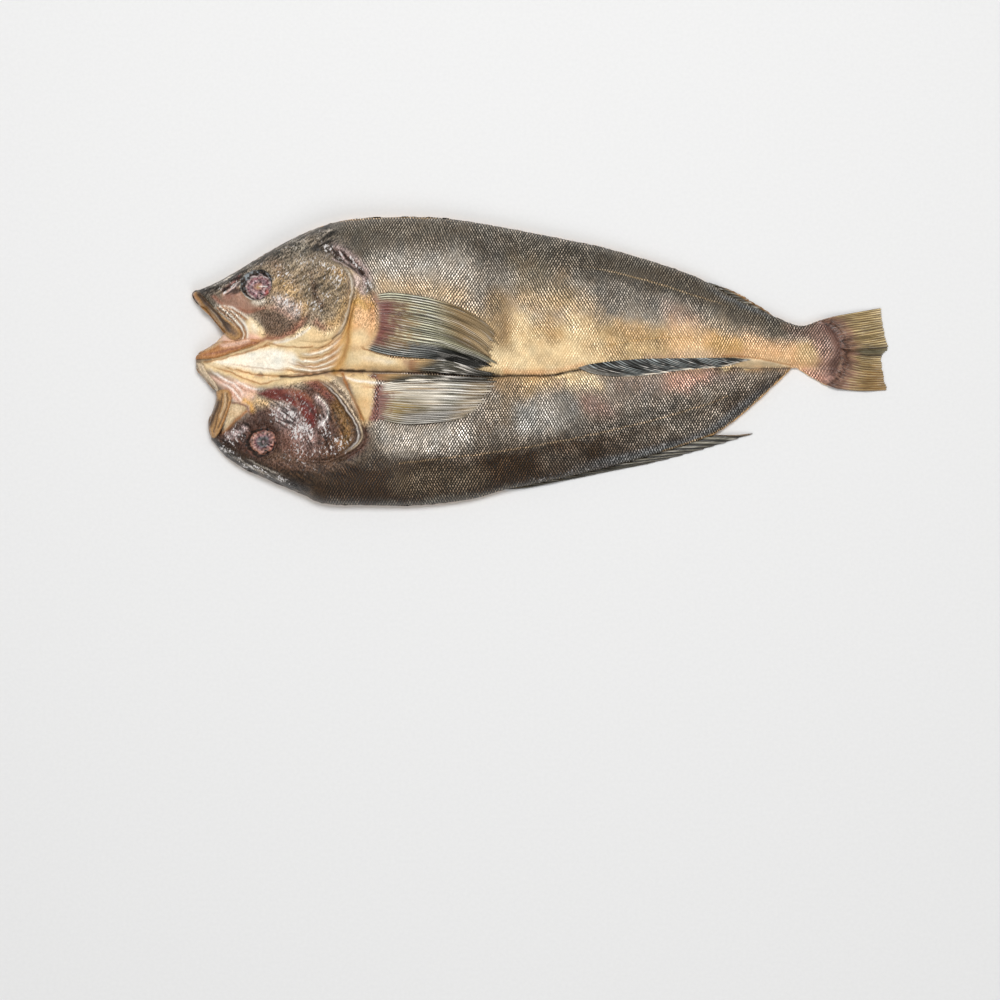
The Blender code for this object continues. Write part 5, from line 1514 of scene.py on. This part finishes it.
def eye_faces():
    """A cap over the middle, bands between the circles of points, and a cone down to the foot."""
    faces = [tuple(range(EYE_TURNS))]
    for circle in range(EYE_CIRCLES - 1):
        for turn in range(EYE_TURNS):
            a, b = circle * EYE_TURNS + turn, circle * EYE_TURNS + (turn + 1) % EYE_TURNS
            faces.append((a, a + EYE_TURNS, b + EYE_TURNS, b))
    last, foot = (EYE_CIRCLES - 1) * EYE_TURNS, EYE_CIRCLES * EYE_TURNS
    return faces + [(last + turn, foot, last + (turn + 1) % EYE_TURNS) for turn in range(EYE_TURNS)]


def eye_tone(x, y, radius, around, middle, column, shine):
    """Cloudy ball with blotches, veins and a painted gleam, a socket in painted shade with painted sparks,
    and a lid with a painted shine.
    """
    uneven = radius + 0.1 * soft_noise(x, y, 2.0, 53)
    tone = across_tone(uneven, [(ring[0], ring[column]) for ring in EYE_RINGS])
    ball = smoothstep(1.0, 0.92, uneven)
    spokes = soft_noise(3 * np.cos(around), 3 * np.sin(around), 0.35, 57) + soft_noise(x, y, 0.8, 58)
    tone = tone * (1 + 0.9 * smoothstep(0.2, 0.5, uneven) * spokes)[:, None]
    blotch = np.clip(1.3 * soft_noise(x, y, 2.2, 54) + 0.6 * np.cos(around - 0.8), 0, 1) * ball
    tone = mixed(tone, "eye_blood", 0.7 * blotch * smoothstep(0.15, 0.4, uneven))
    vein = smoothstep(0.25, 0.5, soft_noise(x, y, 1.0, 55)) * ball
    tone = mixed(tone, "lavender", (0.3 + 0.5 * shine) * vein * (1 - 0.8 * blotch))
    red = hump(around - 5.7, 0.35) * smoothstep(0.6, 0.8, uneven) + smoothstep(0.45, 0.6, vein) * 0.3
    tone = mixed(tone, "vein_red", (0.2 + 0.4 * shine) * red * ball)
    gleam = hump(y - middle[1] - 0.4, 0.35) * smoothstep(0, 1, x - middle[0] - 1)
    tone = mixed(tone, "white", 0.88 * shine * gleam * ball * smoothstep(0.75, 0.6, uneven))
    socket = smoothstep(0.98, 1.06, uneven) * smoothstep(1.3, 1.22, uneven)
    sparks = smoothstep(0.15, 0.4, soft_noise(x, y, 1.1, 56)) * np.clip(np.cos(around - 2.0) + 0.1, 0, 1)
    tone = mixed(tone, "lid_spark", 0.9 * shine * sparks * socket)
    lid = np.clip(np.cos(around + 1.2) - 0.2, 0, 1) * smoothstep(1.1, 1.25, uneven)
    return np.clip(mixed(tone, "white", shine * lid), *TONE_RANGE)


def eye(name, centre, look, material):
    """Shrunken eyeball off the middle of its socket."""
    column, shift, shine = look
    x, y, z, radius, around = eye_surface(centre, shift)
    middle = (centre[0], centre[1] + shift[1])
    tone = eye_tone(x, y, radius, around, middle, column, shine)
    plain = np.zeros((len(x), 4))
    new_piece(name, np.column_stack((x, y, z)), eye_faces(), tone, plain, plain[:, :3].copy(), material)


# ---------------------------------------------------------------- fins
FIN_STAND = 1.4
FIN_THICKNESS = 0.7
FIN_GAP = 0.12
LOWEST_FIN = 0.1
RAY_STAND = 0.5
RAY_COLUMNS = 8
RAY_WANDER = 0.8
FREE_FIN_HEIGHT = 0.3
FIN_WAVE = (9.0, 0.4)  # size and height of the waves of the sheet
CURVE_STEP = 0.2
SLOPE_LENGTH = 6.0  # how far past the body the tail fin comes down to the table


def curve_at(points, share):
    """Places at even shares of a smooth curve's length."""
    path = smooth_path(points, CURVE_STEP)
    number = np.asarray(share) * (len(path) - 1)
    return np.column_stack([np.interp(number, np.arange(len(path)), path[:, axis]) for axis in (0, 1)])


def fin_grid(root, tip, first_edge, last_edge, across, along, fan):
    """Places between a root curve, a tip curve and the two outer rays. A fan over 1 gathers the roots."""
    off_middle = 2 * across - 1
    start = curve_at(root, 0.5 + 0.5 * np.sign(off_middle) * np.abs(off_middle) ** fan)
    end = curve_at(tip, across)
    first = curve_at((root[0], *first_edge, tip[0]), along)
    last = curve_at((root[-1], *last_edge, tip[-1]), along)
    u, v = across[:, None, None], along[None, :, None]
    sides = (1 - u) * first[None] + u * last[None]
    ends = (1 - v) * start[:, None] + v * end[:, None]
    corners = (1 - u) * ((1 - v) * first[0] + v * first[-1]) + u * ((1 - v) * last[0] + v * last[-1])
    return sides + ends - corners


def trimmed(grid, along, cut):
    """The same sheet with each column drawn in to its own cut."""
    whole = grid.copy()
    for column, share in enumerate(cut):
        for axis in (0, 1):
            grid[column, :, axis] = np.interp(along * share, along, whole[column, :, axis])
    return grid


def ridges(phase):
    """0 between the rays and 1 on the middle of each."""
    return 0.5 - 0.5 * np.cos(2 * math.pi * phase)


def sheet_faces(columns, width):
    """Faces of a closed sheet whose lower points follow its upper ones."""
    count = columns * width
    faces = []
    for column in range(columns - 1):
        for row in range(width - 1):
            a = column * width + row
            faces.append((a, a + 1, a + width + 1, a + width))
            faces.append((a + width + count, a + width + 1 + count, a + 1 + count, a + count))
    last = (columns - 1) * width
    rim = [*range(width), *range(2 * width - 1, last, width)]
    rim += [*range(last + width - 1, last - 1, -1), *range(last - width, 0, -width)]
    return faces + [(b, a, a + count, b + count) for a, b in zip(rim, rim[1:] + rim[:1])]


def fin(name, root, tip, rays, tones, material, ground=None, first_edge=(), last_edge=(), ragged=0.06,
        rows=44, stand=FIN_STAND, fork=0.5, shine=0.5, fan=1.0):
    """Fin sheet with raised rays that fork towards its tip, where it is ragged and lies down."""
    columns, width = RAY_COLUMNS * rays + 1, rows + 1
    across, along = np.linspace(0, 1, columns), np.linspace(0, 1, width)
    phase = across * rays
    ray = ridges(phase)
    wander = RAY_WANDER / rays * soft_noise(phase, 0 * phase, 2.6, rays) * np.sin(math.pi * across)
    grid = fin_grid(root, tip, first_edge, last_edge, np.clip(across + wander, 0, 1), along, fan)
    random = np.random.default_rng(len(name) + rays)
    torn = random.uniform(0, ragged, rays + 1)[np.floor(phase).astype(int)]
    x, y = trimmed(grid, along, 1 - torn - 0.8 * ragged * (1 - ray)).reshape(-1, 2).T
    lift = np.tile(smoothstep(0, 0.25, along) * (1 - 0.7 * smoothstep(0.6, 1.0, along)), columns)
    forks = smoothstep(fork - 0.12, fork + 0.2, along)[None, :]
    ridge = ((ray[:, None] * (1 - forks) + ridges(2 * phase)[:, None] * forks) ** 1.5).ravel()
    wave = FIN_WAVE[1] * soft_noise(x, y, FIN_WAVE[0], rays)
    base = ground(x, y) if ground else FREE_FIN_HEIGHT
    top = np.column_stack((x, y, base + FIN_GAP + (stand + wave + RAY_STAND * ridge) * lift))
    under = top - (0, 0, FIN_THICKNESS)
    under[:, 2] = np.maximum(under[:, 2], LOWEST_FIN)
    number, share = np.repeat(phase, width), np.tile(along, columns)
    tone = tones(np.repeat(across, width), share, ridge, x, y)
    tone = fin_tone(tone, number, share, ridge, rays, shine)
    place = np.column_stack((number * 2.2, share * 3, np.full(len(x), rays)))
    new_piece(
        name, np.vstack((top, under)), sheet_faces(columns, width), np.vstack((tone, tone)),
        np.zeros((2 * len(x), 4)), np.vstack((place, place)), material,
    )


def fin_tone(tone, number, share, ridge, rays, shine):
    """Tone of a fin with its rays a little uneven and a gleam here and there on their ridges."""
    body = smoothstep(0.1, 0.3, share)
    tone = tone * (1 + 0.35 * body * soft_noise(number, share * 3, 1.0, rays + 70))[:, None]
    gleam = smoothstep(0.3, 0.5, soft_noise(number * 1.6, share * 9, 1.0, rays + 71)) * ridge**2 * body
    return np.clip(mixed(tone, "white", shine * gleam), *TONE_RANGE)


def mixed(tone, name, share):
    return tone + np.clip(share, 0, 1)[:, None] * (PALETTE[name] - tone)


def rayed(groove, base, ray, ridge):
    """Fin tone that is darker in the grooves and paler on the rays."""
    tone = np.tile(PALETTE[groove], (len(ridge), 1))
    tone = mixed(tone, base, smoothstep(0.04, 0.4, ridge))
    return mixed(tone, ray, smoothstep(0.5, 0.95, ridge))


def into_skin(tone, along, x, y, share=0.16):
    """Fin tone that starts as the skin's colour at its root."""
    painted, _ = skin_paint(x, y)
    return tone + (1 - smoothstep(0.02, share, along))[:, None] * (painted - tone)


# In the tones below, across runs over the rays, along from root to tip, and ridge is 1 on each ray.
def first_pectoral_tone(across, along, ridge, x, y):
    tone = rayed("groove", "green", "pale_green", ridge)
    brown = smoothstep(0.5, 0.8, along + 0.3 * (0.5 - across)) * (1 - smoothstep(0.5, 0.7, across))
    tone = mixed(tone, "brown", 0.7 * brown * (0.4 + 0.6 * ridge))
    low = smoothstep(0.66, 0.85, across + 0.12 * along)
    dark = rayed("black", "dark_grey", "glint", ridge * (1 - 0.85 * smoothstep(0.45, 0.75, along)))
    tone += low[:, None] * (dark - tone)
    middle = smoothstep(0.05, 0.2, across) * (1 - smoothstep(0.78, 0.95, across))
    speckle = 0.06 * soft_noise(x, y, 2.0, 61) + 0.05 * soft_noise(x, y, 0.9, 63)
    tone = mixed(tone, "tan", 0.6 * middle * (1 - smoothstep(0.2, 0.42, along + speckle)))
    tone = mixed(tone, "cheek_dark", 0.6 * middle * (1 - smoothstep(0.14, 0.3, along + speckle)))
    tone = mixed(tone, "wine", 0.9 * middle * (1 - smoothstep(0.06, 0.22, along + speckle)))
    tone = tone * (1 + 1.5 * speckle * (1 - smoothstep(0.2, 0.5, along)))[:, None]
    return into_skin(tone, along, x, y, 0.06)


def second_pectoral_tone(across, along, ridge, x, y):
    tone = rayed("groove", "grey", "ray_white", ridge)
    tone = mixed(tone, "dull", 0.5 * smoothstep(0.6, 0.9, along) * (1 - 0.5 * ridge))
    later = smoothstep(0.25, 0.5, along + 0.3 * across)
    tone = mixed(tone, "dull", 0.45 * later)
    low = smoothstep(0.6, 0.8, across)
    dark = smoothstep(-0.05, 0.25, soft_noise(across * 40, along * 3, 1.1, 65) + 0.15 * low) * later
    tone = mixed(tone, "groove", 0.85 * dark * (1 - 0.6 * ridge))
    # The white streaks are painted highlights.
    streak = soft_noise(across * 36, along * 3, 1.0, 64) + 0.35 * low
    streak = smoothstep(0.2, 0.4, streak) * later * (0.2 + 0.8 * ridge)
    tone = mixed(tone, "white", 0.95 * streak * (1 - 0.8 * smoothstep(0.8, 0.98, along)))
    tone = mixed(tone, "tan", 0.3 * smoothstep(0.7, 0.9, along))
    sheen = (1 - smoothstep(0.3, 0.5, across - 0.2 * along)) * (1 - smoothstep(0.5, 0.7, along))
    tone = mixed(tone, "pale", 0.75 * sheen * (0.5 + 0.5 * ridge))
    brown = smoothstep(0.05, 0.3, soft_noise(across * 26, along * 2.4, 1.0, 74)) * (1 - 0.4 * ridge)
    tone = mixed(tone, "tan", 0.75 * brown * sheen)
    olive = hump(across - 0.66, 0.28) * hump(along - 0.24, 0.24)
    tone = mixed(tone, "moss", 0.95 * olive * (1 - 0.3 * ridge))
    band = low * smoothstep(0.22, 0.36, along) * (1 - smoothstep(0.72, 0.9, along))
    tone = mixed(tone, "black", 0.8 * band * (1 - ridge))
    # White on the rays of the lower band is painted highlight.
    tone = mixed(tone, "white", 0.75 * band * ridge**2)
    edge = smoothstep(0.12, 0.0, across) * smoothstep(0.45, 0.65, along)
    tone = mixed(tone, "black", 0.85 * edge)
    root = along + 0.05 * soft_noise(x, y, 1.2, 72)
    tone = mixed(tone, "wine", 0.8 * (1 - smoothstep(0.06, 0.2, root)) * smoothstep(0.2, 0.35, across))
    return into_skin(tone, along, x, y, 0.1)


def pelvic_tone(across, along, ridge, x, y):
    tone = rayed("black", "fin_olive", "dull", ridge)
    tone = mixed(tone, "sand", 0.85 * (1 - smoothstep(0.15, 0.45, along + 0.2 * across)))
    tone = mixed(tone, "red_brown", 0.7 * (1 - smoothstep(0.04, 0.2, along)))
    # White flecks of painted glints.
    fleck = smoothstep(0.0, 0.3, soft_noise(across * 9, along * 7, 0.9, 69))
    fleck = fleck * smoothstep(0.3, 0.5, along) * (1 - smoothstep(0.7, 0.9, along))
    tone = mixed(tone, "white", 0.85 * fleck)
    tone = mixed(tone, "black", 0.85 * smoothstep(0.65, 0.85, along) * (1 - 0.5 * ridge))
    return into_skin(tone, along, x, y, 0.06)


def dark_fin_tone(across, along, ridge, x, y):
    patchy = 0.72 + 0.9 * soft_noise(across * 34, along * 3, 1.2, 67)
    # The pale tops of the rays are painted highlights.
    tone = rayed("black", "dark_grey", "anal_ray_glint", np.clip(ridge * patchy, 0, 1))
    tone = mixed(tone, "blue_grey", 0.6 * (1 - smoothstep(0.02, 0.1, across)))
    frayed = smoothstep(-0.15, 0.1, soft_noise(across * 40, 0 * along, 1.0, 73))
    return mixed(tone, "pale", smoothstep(0.82, 0.9, along) * frayed)


def olive_fin_tone(across, along, ridge, x, y):
    tone = rayed("black", "fin_olive", "dull", ridge)
    tone = mixed(tone, "brown", 0.6 * smoothstep(0.93, 0.99, across))
    return mixed(tone, "dark", 0.6 * smoothstep(0.8, 0.95, along))


def brown_fin_tone(across, along, ridge, x, y):
    tone = rayed("groove", "fin_olive", "dull", ridge)
    return mixed(tone, "brown", 0.7 * smoothstep(0.55, 0.9, along))


def tail_tone(across, along, ridge, x, y):
    tone = rayed("tail_groove", "tail", "tail_ray", ridge)
    folds = hump(across - 0.53, 0.08) * smoothstep(0.25, 0.45, along)
    tone = mixed(tone, "teal", 0.7 * folds)
    crease = hump(across - 0.45, 0.016) + hump(across - 0.6, 0.016)
    tone = mixed(tone, "dark", 0.85 * crease * smoothstep(0.2, 0.4, along))
    tone = mixed(tone, "olive", 0.6 * smoothstep(0.55, 0.9, across) * smoothstep(0.3, 0.7, along))
    edge = along + 0.05 * soft_noise(x, y, 2.0, 62) + 0.05 * soft_noise(across * 30, 0 * along, 1.5, 66)
    tone = mixed(tone, "rose", 0.7 * (1 - smoothstep(0.25, 0.56, edge)))
    tone = mixed(tone, "purple", 0.85 * (1 - smoothstep(0.12, 0.42, edge)))
    tone = into_skin(tone, along, x, y, 0.12)
    dots = 1 + 0.8 * soft_noise(x, y, 0.8, 68) * (1 - smoothstep(0.1, 0.35, along))
    return np.clip(tone * dots[:, None], *TONE_RANGE)


def tail_ground(x, y):
    """What the tail fin lies on: the end of the body, and beyond it a slope down to the table."""
    away = distance_to(BODY_EDGE, x, y)
    slope = FREE_FIN_HEIGHT + (EDGE_HEIGHT - FREE_FIN_HEIGHT) * hump(away, SLOPE_LENGTH)
    return np.where(inside(BODY_OUTLINE, x, y), skin_height(x, y), slope)


def fins(material):
    """All the fins, from root curve to tip curve."""
    fin(
        "first_pectoral",
        root=((-95.7, 37.7), (-94.4, 31.6), (-94, 24.5), (-95.4, 17.3), (-98, 11.1), (-101, 7.3)),
        tip=(
            (-22.6, 12.8), (-23.8, 8.6), (-27.6, 2.6), (-27, 0.2), (-23.8, -1.8), (-29.7, -4.1),
            (-34.1, -5),
        ),
        first_edge=((-84.1, 38.8), (-64.5, 36.1), (-46.6, 30.7), (-32.3, 22.7)),
        last_edge=((-91.3, 4.2), (-79.7, 2.3), (-64.5, 1.2), (-51.1, -1.4)),
        rays=26, tones=first_pectoral_tone, material=material, ground=body_height, rows=60,
    )
    fin(
        "second_pectoral",
        root=((-93.4, -13), (-94.2, -19), (-94.8, -26), (-95.4, -32.4)),
        tip=((-24.6, -11), (-26, -18), (-29.6, -24), (-34.8, -28), (-41.7, -32)),
        first_edge=((-78, -10.4), (-56, -9.8), (-38, -10.6)),
        last_edge=((-81, -35.9), (-66.4, -35.9), (-52, -34.4)),
        rays=19, tones=second_pectoral_tone, material=material, ground=body_height, rows=60, fork=2,
        shine=0.3,
    )
    fin(
        "first_pelvic",
        root=((-77, 0.4), (-77.6, -2.4), (-77, -5)),
        tip=((-25.2, -6.8), (-24.6, -8.4), (-30.4, -9)),
        first_edge=((-64.5, 1), (-53.8, 0.4), (-43.9, -2.3), (-35, -5.3)),
        last_edge=((-58, -6.4), (-44, -7.6)),
        rays=7, tones=pelvic_tone, material=material, ground=body_height,
    )
    fin(
        "second_pelvic",
        root=((-96.7, -7.2), (-97, -8.6), (-95.5, -10.4)),
        tip=((-24.6, -9.6), (-30, -11), (-42.7, -12.4)),
        first_edge=((-76, -7.4), (-48, -8.6)),
        last_edge=((-80, -12.2), (-60, -12.4)),
        rays=7, tones=pelvic_tone, material=material, ground=body_height,
    )
    fin(
        "anal_fin",
        root=((21.3, -3.7), (28.3, -1.7), (39.8, -0.1), (53.8, 1.1), (68.5, 1.6), (91.5, 1.8), (109, 2)),
        tip=((52, -8.8), (60, -8.4), (68.5, -7.5), (87.5, -4.7), (104, -3.5), (121.3, 0.8)),
        first_edge=((27, -6.2), (34.1, -7.8), (43, -8.8)),
        rays=34, tones=dark_fin_tone, material=material, ground=skin_height, rows=30, fork=2, stand=1.2,
        shine=0.8,
    )
    fin(
        "first_dorsal",
        root=((94, 45.2), (103.5, 39.6), (109.9, 35.4), (122, 30), (131, 26.4)),
        tip=((106, 42.2), (113.9, 39), (126.4, 31.6), (134, 26)),
        first_edge=((97.5, 45),),
        rays=9, tones=brown_fin_tone, material=material, rows=24, stand=1.2, fork=2, ragged=0.08,
    )
    fin(
        "second_dorsal",
        root=((-24, -73.6), (18, -64), (55.9, -54.4), (92.1, -42.8), (103, -43.2)),
        tip=((22, -66.8), (45, -62), (66.8, -57.6), (101.9, -48.3), (123.6, -41)),
        first_edge=((-8, -72.6), (8, -69.4)),
        rays=16, tones=olive_fin_tone, material=material, rows=30, stand=1.2, fork=2, shine=0.25,
    )
    fin(
        "tail_fin",
        root=((156, 21.4), (163.5, 20.6), (169, 14.5), (171.2, 8), (171.3, 2), (169.5, -5), (161, -11.2)),
        tip=(
            (195.9, 30.8), (196.6, 24), (198, 14), (200, 9.2), (198.8, 6.2), (196.2, 3), (196.4, -4),
            (199.3, -16.5),
        ),
        first_edge=((160, 23.2), (163, 24.4), (170, 26.2), (183.5, 28.6)),
        last_edge=((164.5, -13.6), (168, -15), (172, -15.9), (183.5, -16.9)),
        rays=40, tones=tail_tone, material=material, ground=tail_ground, ragged=0.025, stand=1.3, fork=2,
        shine=0.12, fan=2,
    )


# ---------------------------------------------------------------- floor, light and camera
VIEW_CENTRE = (-23.3, -79.5)
VIEW_WIDTH = 574.1
CAMERA_HEIGHT = 3000.0
SENSOR = 36.0
FLOOR_SIDE = 2.4
PAPER = (0.725, 0.745)
SKY = (1.0, 1.0, 0.99, 1.0)
SKY_STRENGTH = 0.32
LIGHT_AIM = (-0.02, -0.05, 0)
# Place, size and power of each light.
LIGHTS = {
    "key": ((0.0, 0.6, 1.6), (0.8, 0.5), 21),
    "fill": ((0.2, -1.3, 1.5), (1.6, 1.0), 11),
    "side": ((-1.5, 0.1, 1.2), (0.7, 0.7), 2),
}


def area_light(name, place, size, power):
    """Soft light aimed at the middle of the fish."""
    light = bpy.data.lights.new(name, "AREA")
    light.shape = "RECTANGLE"
    light.size, light.size_y = size
    light.energy = power
    lamp = bpy.data.objects.new(name, light)
    lamp.location = place
    aim = Vector(LIGHT_AIM) - Vector(place)
    lamp.rotation_euler = aim.to_track_quat("-Z", "Y").to_euler()
    bpy.context.scene.collection.objects.link(lamp)


def paper_floor():
    """Pale, slightly grained floor under the fish."""
    mesh = bpy.data.meshes.new("floor")
    corners = [(x * FLOOR_SIDE, y * FLOOR_SIDE, 0) for x, y in ((-1, -1), (1, -1), (1, 1), (-1, 1))]
    mesh.from_pydata(corners, [], [(0, 1, 2, 3)])
    floor = bpy.data.objects.new("floor", mesh)
    material, tree, surface = new_material("floor", Roughness=0.9)
    paper = ranged(tree, noise_node(tree, object_place(tree), 2.0), 0.3, 0.7, *PAPER)
    colour = shader_node(tree, "CombineColor", {0: paper, 1: paper, 2: paper}).outputs[0]
    tree.links.new(colour, surface.inputs["Base Color"])
    mesh.materials.append(material)
    bpy.context.scene.collection.objects.link(floor)


def overhead_camera():
    """Camera straight above, framed like the photograph."""
    camera = bpy.data.cameras.new("camera")
    camera.sensor_width = SENSOR
    camera.lens = SENSOR * CAMERA_HEIGHT / VIEW_WIDTH
    camera.clip_end = 20.0
    holder = bpy.data.objects.new("camera", camera)
    holder.location = (VIEW_CENTRE[0] * MM, VIEW_CENTRE[1] * MM, CAMERA_HEIGHT * MM)
    bpy.context.scene.collection.objects.link(holder)
    bpy.context.scene.camera = holder


def studio():
    """Pale floor and sky, soft light from above and behind, and the camera."""
    scene = bpy.context.scene
    scene.view_settings.view_transform = "Standard"
    paper_floor()
    world = bpy.data.worlds.new("studio")
    world.use_nodes = True
    background = world.node_tree.nodes["Background"]
    background.inputs["Color"].default_value = SKY
    background.inputs["Strength"].default_value = SKY_STRENGTH
    scene.world = world
    for name, light in LIGHTS.items():
        area_light(name, *light)
    overhead_camera()


# Pattern, range of brightness, range of roughness and depth of the bump of each streaked material.
FLESH_LOOK = (flakes, (0.75, 1.15), (0.35, 0.6), 0.4)
EYE_GLOSS = (clouds, (0.6, 1.4), (0.12, 0.3), 0.6)
FIN_LOOK = (ray_streaks, (0.55, 1.5), (0.24, 0.42), 0.3)


def main():
    skin = skin_material("skin")
    skins(skin)
    flesh(streaked_material("flesh", *FLESH_LOOK, IOR=1.4))
    bones(skin)
    glossy = streaked_material("eye", *EYE_GLOSS, IOR=1.38)
    for (name, *centre), look in zip(EYES, EYE_LOOKS):
        eye(name, centre, look, glossy)
    fins(streaked_material("fins", *FIN_LOOK, IOR=1.4))
    studio()


main()
